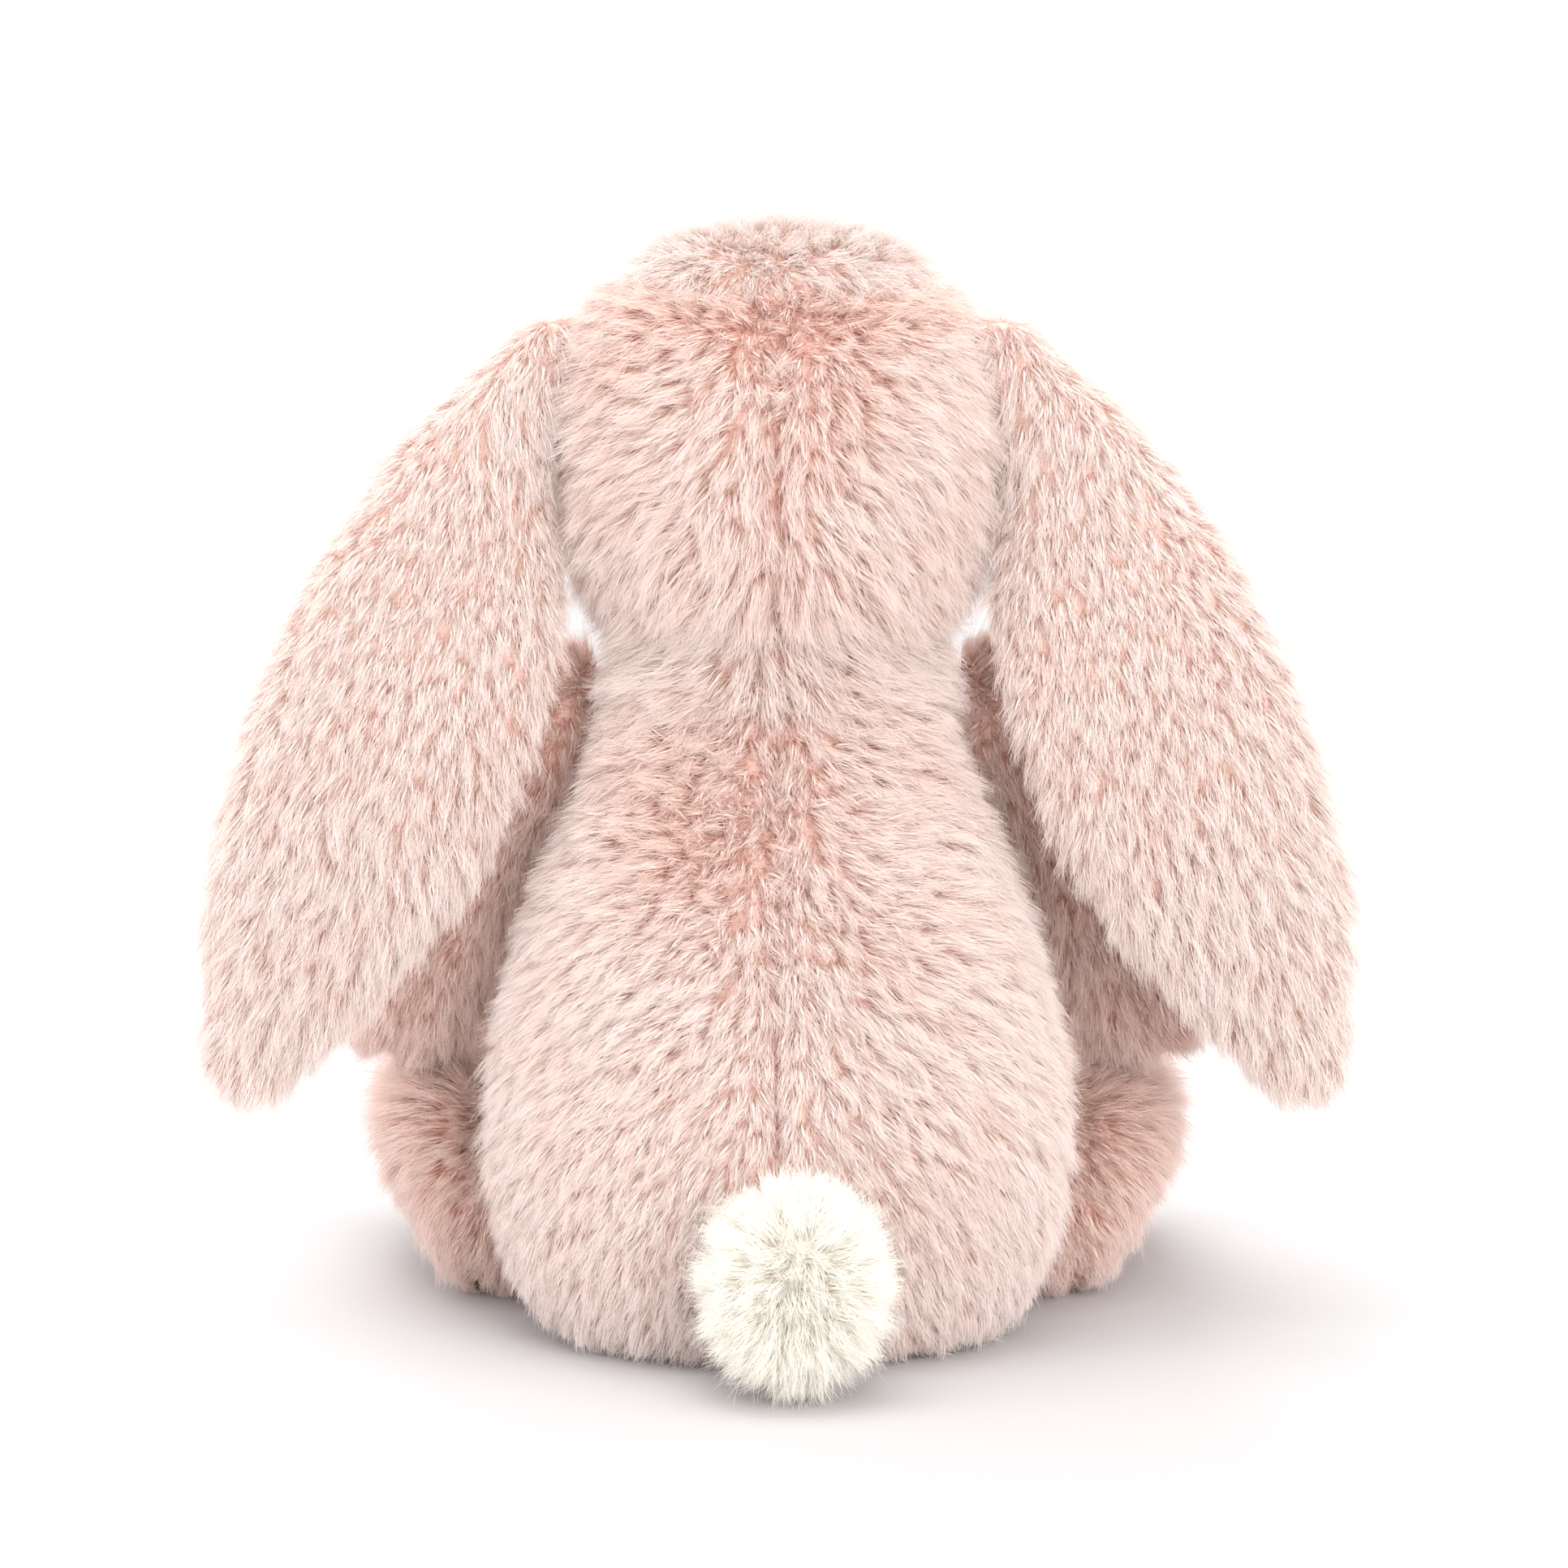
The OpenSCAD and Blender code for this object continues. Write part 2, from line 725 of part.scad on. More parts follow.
// Rings from where the tail is sewn on to its end
function tail_rings(inset) =
    [
        for (k = [0 : tail_steps])
            let (
                a = tail_from + (tail_to - tail_from) * k / tail_steps,
                depth = inset + (tail_d / 2 - inset) * (cos(tail_from) - cos(a))
            )
            cross_ring(
                tail_at + [0, depth, 0], [0, 1, 0], [0, 0, 1],
                [tail_w / 2 - inset, tail_h / 2 - inset] * pow(sin(a), 0.8), limb_n
            )
    ];

tail_outer_rings = tail_rings(0);

module tail_cover()
    color(cream) placed()
        difference() {
            skin(tail_outer_rings);
            skin(tail_rings(fur_t));
        }

module tail_stuffing() color(stuffing_white) placed() skin(tail_rings(fur_t + rest_gap));

// ---- the whole -------------------------------------------------------------------------------------

// The box runs from the soles to the end of the tail, and the origin is half-way
front_y = min([for (r = leg_outer_rings) each [for (p = r) p.y]]);
back_y = max([for (r = tail_outer_rings) each [for (p = r) p.y]]);

module placed() translate([0, -(front_y + back_y) / 2, 0]) children();

torso_back_left();
torso_back_right();
belly_panel();
seat_panel();
torso_stuffing();
pellet_pouch();
pellet_fill();
closing_stitch();
head_back_left();
head_back_right();
face_left();
face_right();
crown_panel();
head_stuffing();
eye_left();
eye_right();
eye_washers();
nose();
mouth_stitch();
ear_left_fur();
ear_left_lining();
ear_right_fur();
ear_right_lining();
arm_left_outer();
arm_left_inner();
arm_left_stuffing();
arm_right_outer();
arm_right_inner();
arm_right_stuffing();
leg_left_outer();
leg_left_inner();
foot_sole_left();
leg_left_stuffing();
leg_right_outer();
leg_right_inner();
foot_sole_right();
leg_right_stuffing();
tail_cover();
tail_stuffing();
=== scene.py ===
"""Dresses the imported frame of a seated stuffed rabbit: puffed skins under a combed pile of fur, a pompom
tail, embroidered and moulded face parts, the filling inside, and a plain studio round it."""

import json
import math

import bmesh
import bpy
import numpy as np
from bpy.props import FloatProperty, FloatVectorProperty, IntProperty, PointerProperty
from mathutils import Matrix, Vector
from mathutils.bvhtree import BVHTree
from mathutils.kdtree import KDTree

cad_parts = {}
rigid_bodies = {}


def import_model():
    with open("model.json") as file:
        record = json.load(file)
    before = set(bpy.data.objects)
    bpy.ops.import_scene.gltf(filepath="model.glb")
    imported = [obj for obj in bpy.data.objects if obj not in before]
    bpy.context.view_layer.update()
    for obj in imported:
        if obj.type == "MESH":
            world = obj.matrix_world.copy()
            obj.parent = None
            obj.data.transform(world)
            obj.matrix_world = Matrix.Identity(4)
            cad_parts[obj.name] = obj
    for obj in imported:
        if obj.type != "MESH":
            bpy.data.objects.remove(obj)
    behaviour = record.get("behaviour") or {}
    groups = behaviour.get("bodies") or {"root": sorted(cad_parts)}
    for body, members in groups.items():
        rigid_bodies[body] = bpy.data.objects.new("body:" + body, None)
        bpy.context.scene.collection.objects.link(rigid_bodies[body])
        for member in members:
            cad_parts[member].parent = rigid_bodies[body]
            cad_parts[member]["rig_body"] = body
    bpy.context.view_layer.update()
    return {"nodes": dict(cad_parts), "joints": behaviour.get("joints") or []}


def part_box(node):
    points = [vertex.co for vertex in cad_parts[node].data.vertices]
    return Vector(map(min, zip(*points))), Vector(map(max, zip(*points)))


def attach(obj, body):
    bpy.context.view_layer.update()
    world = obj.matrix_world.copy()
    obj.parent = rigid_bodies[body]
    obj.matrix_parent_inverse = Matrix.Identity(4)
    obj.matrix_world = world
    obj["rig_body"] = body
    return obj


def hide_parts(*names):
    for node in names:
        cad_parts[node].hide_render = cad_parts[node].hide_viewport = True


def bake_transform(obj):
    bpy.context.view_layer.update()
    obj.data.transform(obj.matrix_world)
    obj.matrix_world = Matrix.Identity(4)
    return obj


bl_info = {
    "name": "Plush rabbit",
    "version": (1, 0, 0),
    "blender": (4, 5, 0),
    "location": "View3D > Sidebar > Plush",
    "description": "Builds the skins, pile, tail, face, filling and studio of a stuffed rabbit",
    "category": "Object",
}

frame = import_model()
MM = 0.001
SIDES = ("left", "right")
FLOOR_CLEAR = 0.3 * MM  # how far the lowest pile stays above the floor
FLOOR_RADIUS = 1.6
FADE_FROM, FADE_TO = 0.28, 0.6  # how far out the floor turns into the white of the room


# ---- small tools ---------------------------------------------------------------------------------


def to_linear(hex_code):
    """A colour written as sRGB hex, as the linear RGBA that Blender's sockets take."""
    parts = [int(hex_code[k : k + 2], 16) / 255 for k in (1, 3, 5)]
    return [c / 12.92 if c <= 0.04045 else ((c + 0.055) / 1.055) ** 2.4 for c in parts] + [1.0]


def add_node(tree, kind, settings=None, inputs=None):
    """Adds a shader node; an input that is a socket is linked, and any other is set."""
    node = tree.nodes.new(kind)
    for name, value in (settings or {}).items():
        setattr(node, name, value)
    for key, value in (inputs or {}).items():
        if isinstance(value, bpy.types.NodeSocket):
            tree.links.new(value, node.inputs[key])
        else:
            node.inputs[key].default_value = value
    return node


def new_material(name):
    """An empty node material and its tree."""
    material = bpy.data.materials.new(name)
    material.use_nodes = True
    material.node_tree.nodes.clear()
    return material, material.node_tree


def unit(vectors):
    """Each row scaled to length 1."""
    return vectors / np.maximum(np.linalg.norm(vectors, axis=1, keepdims=True), 1e-12)


def drift(points, size, seed):
    """Smooth noise from -1 to 1 at each point, with lumps of about the given size."""
    place = points / size + seed * 17.17
    base = np.floor(place).astype(np.int64)
    part = place - base
    part = part * part * (3 - 2 * part)
    total = np.zeros(len(points))
    for corner in range(8):
        step = np.array([corner & 1, corner >> 1 & 1, corner >> 2 & 1])
        at = base + step
        mixed = at[:, 0] * 73856093 ^ at[:, 1] * 19349663 ^ at[:, 2] * 83492791 ^ seed * 40503
        mixed = (mixed ^ mixed >> 13) * 1274126177
        value = ((mixed ^ mixed >> 16) & 0xFFFF) / 32767.5 - 1
        total += value * np.prod(np.where(step == 1, part, 1 - part), axis=1)
    return total


def near(distance, reach):
    """1 at no distance, fading smoothly to 0 past the reach."""
    return np.exp(-((distance / reach) ** 2))


def link(obj):
    bpy.context.scene.collection.objects.link(obj)
    return obj


def make_mesh(name, points, faces, materials):
    """An object from points and faces, in metres, in the frame's own place."""
    mesh = bpy.data.meshes.new(name)
    mesh.from_pydata([tuple(p) for p in points], [], faces)
    mesh.validate()
    mesh.polygons.foreach_set("use_smooth", np.ones(len(mesh.polygons), bool))
    for material in materials:
        mesh.materials.append(material)
    return link(bpy.data.objects.new(name, mesh))


def settled(obj):
    """Replaces an object's mesh by what its modifiers make of it, and removes them."""
    graph = bpy.context.evaluated_depsgraph_get()
    mesh = bpy.data.meshes.new_from_object(obj.evaluated_get(graph))
    mesh.name = obj.name
    obj.modifiers.clear()
    obj.data = mesh
    return obj


def get_points(mesh):
    points = np.empty(len(mesh.vertices) * 3, np.float32)
    mesh.vertices.foreach_get("co", points)
    return points.reshape(-1, 3).astype(float)


def set_points(mesh, points):
    mesh.vertices.foreach_set("co", points.astype(np.float32).ravel())
    mesh.update()


def get_normals(mesh):
    normals = np.empty(len(mesh.vertices) * 3, np.float32)
    mesh.vertex_normals.foreach_get("vector", normals)
    return normals.reshape(-1, 3).astype(float)


def pushed(mesh, amount, aside=0.0):
    """Moves every point out along its normal, or in if the amount is negative, and then aside."""
    set_points(mesh, get_points(mesh) + get_normals(mesh) * amount + aside)


def finished(obj, material, smooth=True):
    """Gives an object one material, and smooth shading unless its facets should show."""
    if smooth:
        obj.data.polygons.foreach_set("use_smooth", np.ones(len(obj.data.polygons), bool))
    obj.data.materials.clear()
    obj.data.materials.append(material)


def node_points(*names):
    """Every vertex of some CAD nodes."""
    return np.vstack([get_points(frame["nodes"][n].data) for n in names])


def middle_of(name):
    low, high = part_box(name)
    return np.array((low + high) / 2)


def joint_place(name):
    found = [j for j in frame["joints"] if j["name"] == name]
    return np.array(found[0]["pos_m"])


# ---- settings --------------------------------------------------------------------------------------


def colour(name, description, hex_code):
    return FloatVectorProperty(
        name=name,
        description=description,
        default=to_linear(hex_code)[:3],
        subtype="COLOR",
        size=3,
        min=0,
        max=1,
    )


def length(name, description, millimetres):
    return FloatProperty(
        name=name, description=description, default=millimetres * MM, unit="LENGTH", precision=5
    )


class CoatSettings(bpy.types.PropertyGroup):
    """Sizes and colours of the pile."""

    pile: length("Long pile", "Length of a fibre of the long fur", 7.2)
    short_pile: length("Short pile", "Length of a fibre on the face, crown and soles", 4.2)
    lock_gap: length("Lock spacing", "Distance between neighbouring locks of fibres", 1.75)
    tuft_gap: length("Tuft spacing", "Distance between the tufts that locks gather into", 4.4)
    lock_width: length("Lock width", "Width of a lock of the long fur at its widest", 0.8)
    fibre: length("Fibre radius", "Radius of a single drawn fibre at its root", 0.046)
    slit_gap: length("Slit spacing", "Distance between the slits that open between tufts", 4.6)
    strands: IntProperty(name="Fibres", description="Fibres round each lock", default=26, min=1)
    deep: colour("Root", "Colour at the root of the fur", "#ECCCC1")
    middle: colour("Middle", "Colour half-way up the fur", "#F6E9E3")
    tip: colour("Tip", "Colour at the tip of the fur", "#FBF3F0")
    flush_deep: colour("Ruffled root", "Root colour where the fur is ruffled", "#DDA692")
    flush_middle: colour("Ruffled middle", "Middle colour where the fur is ruffled", "#F5DAD0")
    flush_tip: colour("Ruffled tip", "Tip colour where the fur is ruffled", "#FAECE6")
    # Slit colour: painted shade for fibres down in a slit or the back seam's groove, over their pink root
    # colour
    slit: colour("Slit", "Colour of the fur that shows down in a slit or a seam", "#C8826C")
    short_deep: colour("Short root", "Root colour of the short pile", "#F2D6C9")
    short_tip: colour("Short tip", "Tip colour of the short pile", "#FAECE5")
    yarn: colour("Pompom", "Colour of the tail's yarn", "#FFFCF5")


class BodySettings(bpy.types.PropertyGroup):
    """How the skins are filled and sewn."""

    voxel: length("Remesh size", "Grid that the panels are joined on", 3.2)
    slack: length("Slack", "How far a skin lies inside its panels before it is puffed", 2.2)
    puff: length("Puff", "The most that the filling pushes a skin out", 2.0)
    seam_depth: length("Seam depth", "How far a sewn seam pulls the skin in", 1.5)
    seam_width: length("Seam width", "Half the width of the groove at a seam", 2.6)
    pressure: FloatProperty(name="Pressure", description="Push of the filling", default=4.0, min=0)


class StageSettings(bpy.types.PropertyGroup):
    """The studio."""

    distance: length("Camera distance", "From the camera to the rabbit", 1800)
    field: length("Field width", "Width of the picture at the rabbit", 309)
    elevation: FloatProperty(
        name="Elevation",
        description="Angle of the camera above the horizontal",
        default=math.radians(9),
        subtype="ANGLE",
    )
    aim_side: length("Aim side", "How far to the rabbit's right the camera looks", 1.3)
    aim_height: length("Aim height", "Height of the point that the camera looks at", 110)
    aim_back: length("Aim depth", "How far behind the middle the camera looks at", 20)
    floor: colour("Floor", "Colour of the floor", "#D0CECF")


# ---- materials ---------------------------------------------------------------------------------------


def ramp(tree, factor, stops):
    """A colour ramp along a 0 to 1 socket; stops are (place, colour)."""
    node = add_node(tree, "ShaderNodeValToRGB", None, {"Fac": factor})
    for place, value in stops[1:-1]:
        node.color_ramp.elements.new(place).color = value
    for element, (place, value) in zip(node.color_ramp.elements, stops):
        element.position = place
        element.color = value
    return node.outputs["Color"]


def rgba(value, share=1.0):
    """A colour as RGBA, darkened to a share of itself."""
    return [c * share for c in value] + [1.0]


def blended(tree, factor, first, second):
    """Two colours mixed by a socket."""
    node = add_node(tree, "ShaderNodeMix", {"data_type": "RGBA"}, {0: factor, 6: first, 7: second})
    return node.outputs[2]


def give_surface(tree, inputs):
    """A Principled shader, linked to the material's output."""
    shader = add_node(tree, "ShaderNodeBsdfPrincipled", None, inputs)
    add_node(tree, "ShaderNodeOutputMaterial", None, {"Surface": shader.outputs[0]})


def pile_colour(tree, tone, along, coat):
    """Long fur: pale tips over pink roots, rosier all along where the tone is high; a tone over 1 is a
    fibre that stands down in a slit between tufts or in the back seam's groove, painted towards the
    darker slit colour: painted shade down in the gap, over the fibre's pink root colour."""
    calm = [(0.05, rgba(coat.deep)), (0.42, rgba(coat.middle)), (0.95, rgba(coat.tip))]
    flush = [(0.08, rgba(coat.flush_deep)), (0.5, rgba(coat.flush_middle)), (1.0, rgba(coat.flush_tip))]
    fur = blended(tree, tone, ramp(tree, along, calm), ramp(tree, along, flush))
    sunk_and_shaded = add_node(tree, "ShaderNodeMapRange", None, {"Value": tone, "From Min": 1.0, "From Max": 2.0})
    return blended(tree, sunk_and_shaded.outputs[0], fur, rgba(coat.slit))


def short_colour(tree, tone, along, coat):
    """Short pile: paler and more even than the long fur."""
    deep, pale, warm = rgba(coat.short_deep), rgba(coat.tip), rgba(coat.short_tip)
    calm = ramp(tree, along, [(0.1, deep), (0.6, pale), (1.0, pale)])
    flush = ramp(tree, along, [(0.1, deep), (0.5, warm), (1.0, warm)])
    return blended(tree, tone, calm, flush)


def yarn_colour(tree, tone, along, coat):
    """Pompom yarn: cream all along, with painted shade near the roots, greyer down between the strands; a
    higher tone takes the painted shade further up.
    """
    # Painted shade: the yarn's colour at 97%, near the roots
    white, shaded_yarn = rgba(coat.yarn), rgba(coat.yarn, 0.97)
    pale = ramp(tree, along, [(0.0, shaded_yarn), (0.35, white), (1.0, white)])
    dull = ramp(tree, along, [(0.0, shaded_yarn), (0.7, white), (1.0, white)])
    return blended(tree, tone, pale, dull)


PILE_SHEEN = 0.18
FIBRE_GLOW = 0.24  # the share of light that a single fibre lets through


def lock_material(name, paint, coat):
    """Polyester pile as locks of fibres. Crimped fibres scatter light softly, so there is no gloss,
    only the pale sheen that rims a plush at grazing light."""
    material, tree = new_material(name)
    place = add_node(tree, "ShaderNodeUVMap", {"uv_map": "OFBake"})
    parts = add_node(tree, "ShaderNodeSeparateXYZ", None, {0: place.outputs[0]})
    inputs = {
        "Base Color": paint(tree, parts.outputs[0], parts.outputs[1], coat),
        "Roughness": 0.8,
        "IOR": 1.5,
        "Specular IOR Level": 0.15,
        "Sheen Weight": PILE_SHEEN,
        "Sheen Roughness": 0.5,
    }
    give_surface(tree, inputs)
    return material


def fibre_material(name, paint, coat):
    """The same polyester as single fibres: thin enough that light passes through them."""
    material, tree = new_material(name)
    tone = add_node(tree, "ShaderNodeAttribute", {"attribute_name": "tone"})
    along = add_node(tree, "ShaderNodeHairInfo")
    base = paint(tree, tone.outputs["Fac"], along.outputs["Intercept"], coat)
    front = add_node(tree, "ShaderNodeBsdfDiffuse", None, {"Color": base})
    through = add_node(tree, "ShaderNodeBsdfTranslucent", None, {"Color": base})
    parts = {0: FIBRE_GLOW, 1: front.outputs[0], 2: through.outputs[0]}
    both = add_node(tree, "ShaderNodeMixShader", None, parts)
    add_node(tree, "ShaderNodeOutputMaterial", None, {"Surface": both.outputs[0]})
    return material


def knit_material(name, shade, stitch):
    """Knitted backing cloth of the fur: fine loops in rows, matt, in the root colour."""
    material, tree = new_material(name)
    place = add_node(tree, "ShaderNodeTexCoord").outputs["Object"]
    inputs = {"Vector": place, "Scale": 1 / (math.pi * stitch), "Distortion": 2.0, "Detail": 1.0}
    bands = {"wave_type": "BANDS", "bands_direction": "Z"}
    courses = add_node(tree, "ShaderNodeTexWave", bands, inputs).outputs["Fac"]
    mottle = add_node(tree, "ShaderNodeTexNoise", None, {"Vector": place, "Scale": 160.0, "Detail": 3.0})
    inputs = {0: courses, 1: 0.5, 2: mottle.outputs["Fac"]}
    both = add_node(tree, "ShaderNodeMath", {"operation": "MULTIPLY_ADD"}, inputs)
    bump = add_node(tree, "ShaderNodeBump", None, {"Height": courses, "Distance": 0.0002, "Strength": 0.6})
    stops = [(0.2, rgba(shade, 0.8)), (0.6, rgba(shade)), (1.0, rgba(shade))]
    inputs = {
        "Base Color": ramp(tree, both.outputs[0], stops),
        "Roughness": 0.9,
        "Specular IOR Level": 0.1,
        "Sheen Weight": 0.3,
        "Normal": bump.outputs[0],
    }
    give_surface(tree, inputs)
    return material


def mottled_material(name, light, dark, grain, bump_height, rough, specular, sheen=0.0, coat_weight=0.0):
    """A material whose colour and height vary a little on a grain of a real size in metres."""
    material, tree = new_material(name)
    place = add_node(tree, "ShaderNodeTexCoord").outputs["Object"]
    inputs = {"Vector": place, "Scale": 1 / grain, "Detail": 4.0, "Roughness": 0.6}
    noise = add_node(tree, "ShaderNodeTexNoise", None, inputs).outputs["Fac"]
    bump = add_node(tree, "ShaderNodeBump", None, {"Height": noise, "Distance": bump_height, "Strength": 0.5})
    stops = [(0.3, to_linear(dark)), (0.55, to_linear(light)), (0.8, to_linear(light))]
    inputs = {
        "Base Color": ramp(tree, noise, stops),
        "Roughness": rough,
        "Specular IOR Level": specular,
        "Sheen Weight": sheen,
        "Coat Weight": coat_weight,
        "Coat Roughness": 0.03,
        "Normal": bump.outputs[0],
    }
    give_surface(tree, inputs)
    return material


# ---- skins -----------------------------------------------------------------------------------------

EAR_IN, EAR_UP = 3.5 * MM, 0.8 * MM  # how far an ear's gathered root is drawn towards the head, and up
CROWN_FILL = 1.6 * MM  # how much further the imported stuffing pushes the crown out
FILL_STEPS = 20  # steps that the cloth is blown up for

# Each skin: the CAD panels it stands for, what else it must cover, its share of the remesh size, and its
# share of the slack where that differs
SKINS = {
    "torso_skin": {
        "body": "torso",
        "panels": ["torso_back_left", "torso_back_right", "belly_panel", "seat_panel"],
        "inside": ["torso_stuffing", "pellet_pouch"],
        "grid": 1.0,
        "slack": 1.6,
    },
    "head_skin": {
        "body": "head",
        "panels": ["head_back_left", "head_back_right", "face_left", "face_right", "crown_panel"],
        "inside": ["head_stuffing"],
        "grid": 1.0,
    },
}
for side in SIDES:
    SKINS[f"ear_{side}_skin"] = {
        "body": f"ear_{side}",
        "panels": [f"ear_{side}_fur", f"ear_{side}_lining"],
        "inside": [],
        "grid": 0.7,
    }
    SKINS[f"arm_{side}_skin"] = {
        "body": f"arm_{side}",
        "panels": [f"arm_{side}_outer", f"arm_{side}_inner"],
        "inside": [f"arm_{side}_stuffing"],
        "grid": 0.8,
    }
    SKINS[f"leg_{side}_skin"] = {
        "body": f"leg_{side}",
        "panels": [f"leg_{side}_outer", f"leg_{side}_inner", f"foot_sole_{side}"],
        "inside": [f"leg_{side}_stuffing"],
        "grid": 0.9,
    }


def joined(name, nodes):
    """One object from copies of some CAD nodes."""
    form = bmesh.new()
    for node in nodes:
        form.from_mesh(frame["nodes"][node].data)
    mesh = bpy.data.meshes.new(name)
    form.to_mesh(mesh)
    form.free()
    return link(bpy.data.objects.new(name, mesh))


def remeshed(name, nodes, voxel, rounds):
    """The outside of some CAD nodes as one even, smoothed mesh."""
    obj = joined(name, nodes)
    remesh = obj.modifiers.new("grid", "REMESH")
    remesh.mode = "VOXEL"
    remesh.voxel_size = voxel
    settled(obj)
    keep_outside(obj.data)
    smoothed(obj.data, rounds)
    return obj


def keep_outside(mesh):
    """Deletes every loose island of a mesh but its widest."""
    form = bmesh.new()
    form.from_mesh(mesh)
    form.verts.ensure_lookup_table()
    seen = np.zeros(len(form.verts), bool)
    islands = []
    for start in form.verts:
        if seen[start.index]:
            continue
        seen[start.index] = True
        island = [start]
        for vertex in island:
            for edge in vertex.link_edges:
                other = edge.other_vert(vertex)
                if not seen[other.index]:
                    seen[other.index] = True
                    island.append(other)
        islands.append(island)
    islands.sort(key=lambda island: max(v.co.z for v in island) - min(v.co.z for v in island))
    for island in islands[:-1]:
        bmesh.ops.delete(form, geom=island, context="VERTS")
    form.to_mesh(mesh)
    form.free()


def smoothed(mesh, rounds, share=0.5):
    """Evens a mesh out by moving each point towards its neighbours' middle."""
    points = get_points(mesh)
    edges = np.empty(len(mesh.edges) * 2, np.int32)
    mesh.edges.foreach_get("vertices", edges)
    edges = edges.reshape(-1, 2)
    count = np.bincount(edges.ravel(), minlength=len(points))[:, None]
    for _ in range(rounds):
        total = np.zeros_like(points)
        np.add.at(total, edges[:, 0], points[edges[:, 1]])
        np.add.at(total, edges[:, 1], points[edges[:, 0]])
        points += (total / np.maximum(count, 1) - points) * share
    set_points(mesh, points)


def tree_of(node):
    mesh = frame["nodes"][node].data
    return BVHTree.FromPolygons([v.co for v in mesh.vertices], [list(p.vertices) for p in mesh.polygons])


def sewn_from(points, panels):
    """For each point, the index of its nearest panel and how much nearer that is than the next one."""
    trees = [tree_of(p) for p in panels]
    far = np.array([[tree.find_nearest(p)[3] for tree in trees] for p in map(Vector, points)])
    order = np.sort(far, axis=1)
    return far.argmin(axis=1), order[:, 1] - order[:, 0]


def make_slack_skin(name, plan, body):
    """A closed form a little inside a body's panels."""
    obj = remeshed(name, plan["panels"] + plan["inside"], body.voxel * plan["grid"], 3)
    pushed(obj.data, -body.slack * plan.get("slack", plan["grid"]))
    return obj


def puff_skins(objects, body):
    """Fills the skins: cloth under pressure, which may wrinkle but not shrink off its filling."""
    starts = {obj: (get_points(obj.data), get_normals(obj.data)) for obj in objects}
    ends = {obj: start + normal * body.puff for obj, (start, normal) in starts.items()}
    stuffed = [obj for obj in objects if "ear" not in obj.name]
    for obj in stuffed:
        cloth = obj.modifiers.new("fill", "CLOTH")
        cloth.settings.use_pressure = True
        cloth.settings.uniform_pressure_force = body.pressure
        cloth.settings.effector_weights.gravity = 0
        cloth.settings.tension_stiffness = 25
        cloth.settings.compression_stiffness = 10
        cloth.settings.bending_stiffness = 0.5
        cloth.point_cache.frame_start = 1
        cloth.point_cache.frame_end = FILL_STEPS
    for step in range(1, FILL_STEPS + 1):
        bpy.context.scene.frame_set(step)
    graph = bpy.context.evaluated_depsgraph_get()
    for obj in stuffed:
        start, normal = starts[obj]
        move = get_points(obj.evaluated_get(graph).data) - start
        out = (move * normal).sum(axis=1, keepdims=True)
        along = move - normal * out
        far = np.linalg.norm(along, axis=1, keepdims=True)
        along *= np.minimum(1, 0.5 * body.puff / np.maximum(far, 1e-9))
        ends[obj] = start + normal * np.clip(out, 0.55 * body.puff, 1.1 * body.puff) + along
    for obj in stuffed:
        obj.modifiers.clear()
    bpy.context.scene.frame_set(1)
    for obj, end in ends.items():
        set_points(obj.data, end)


def sew_skin(obj, plan, body):
    """Subdivides a puffed skin once and pulls its seams in."""
    smoothed(obj.data, 1)
    obj.modifiers.new("soft", "SUBSURF").levels = 1
    settled(obj)
    mesh = obj.data
    points = get_points(mesh)
    seam = sewn_from(points, plan["panels"])[1]
    pulled = near(seam, body.seam_width)[:, None] * body.seam_depth
    if "ear" in obj.name:
        pulled *= 0.15
        root = joint_place(f"{plan['body']}_lift")
        gathered = near(np.linalg.norm(points - root, axis=1), 20 * MM)[:, None]
        points += gathered * [-EAR_IN * np.sign(root[0]), 0, EAR_UP]
    if "head" in obj.name:
        high = np.clip((points[:, 2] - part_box("crown_panel")[0].z) / (6 * MM) + 0.5, 0, 1)[:, None]
        points += get_normals(mesh) * high * CROWN_FILL
        pulled *= 1 - 0.85 * high
    points -= get_normals(mesh) * pulled
    points[:, 2] = np.maximum(points[:, 2], FLOOR_CLEAR)
    set_points(mesh, points)


class RABBIT_OT_skins(bpy.types.Operator):
    """Makes the puffed skin under the fur of the torso, head, ears, arms and legs"""

    bl_idname = "rabbit.skins"
    bl_label = "Skins"

    def execute(self, context):
        body = context.scene.rabbit_body
        coat = context.scene.rabbit_coat
        backing = knit_material("knitted_polyester_backing", coat.deep, 0.9 * MM)
        made = {name: make_slack_skin(name, plan, body) for name, plan in SKINS.items()}
        puff_skins(list(made.values()), body)
        for name, obj in made.items():
            plan = SKINS[name]
            sew_skin(obj, plan, body)
            finished(obj, backing)
            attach(obj, plan["body"])
            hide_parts(*plan["panels"])
        return {"FINISHED"}


# ---- pile ------------------------------------------------------------------------------------------


def surface_of(obj):
    """A mesh's triangles with their corner points, corner normals and areas."""
    mesh = obj.data
    mesh.calc_loop_triangles()
    corners = np.empty(len(mesh.loop_triangles) * 3, np.int32)
    mesh.loop_triangles.foreach_get("vertices", corners)
    corners = corners.reshape(-1, 3)
    points = get_points(mesh)
    normals = get_normals(mesh)
    a, b, c = (points[corners[:, k]] for k in range(3))
    area = np.linalg.norm(np.cross(b - a, c - a), axis=1) / 2
    return points, normals, corners, area


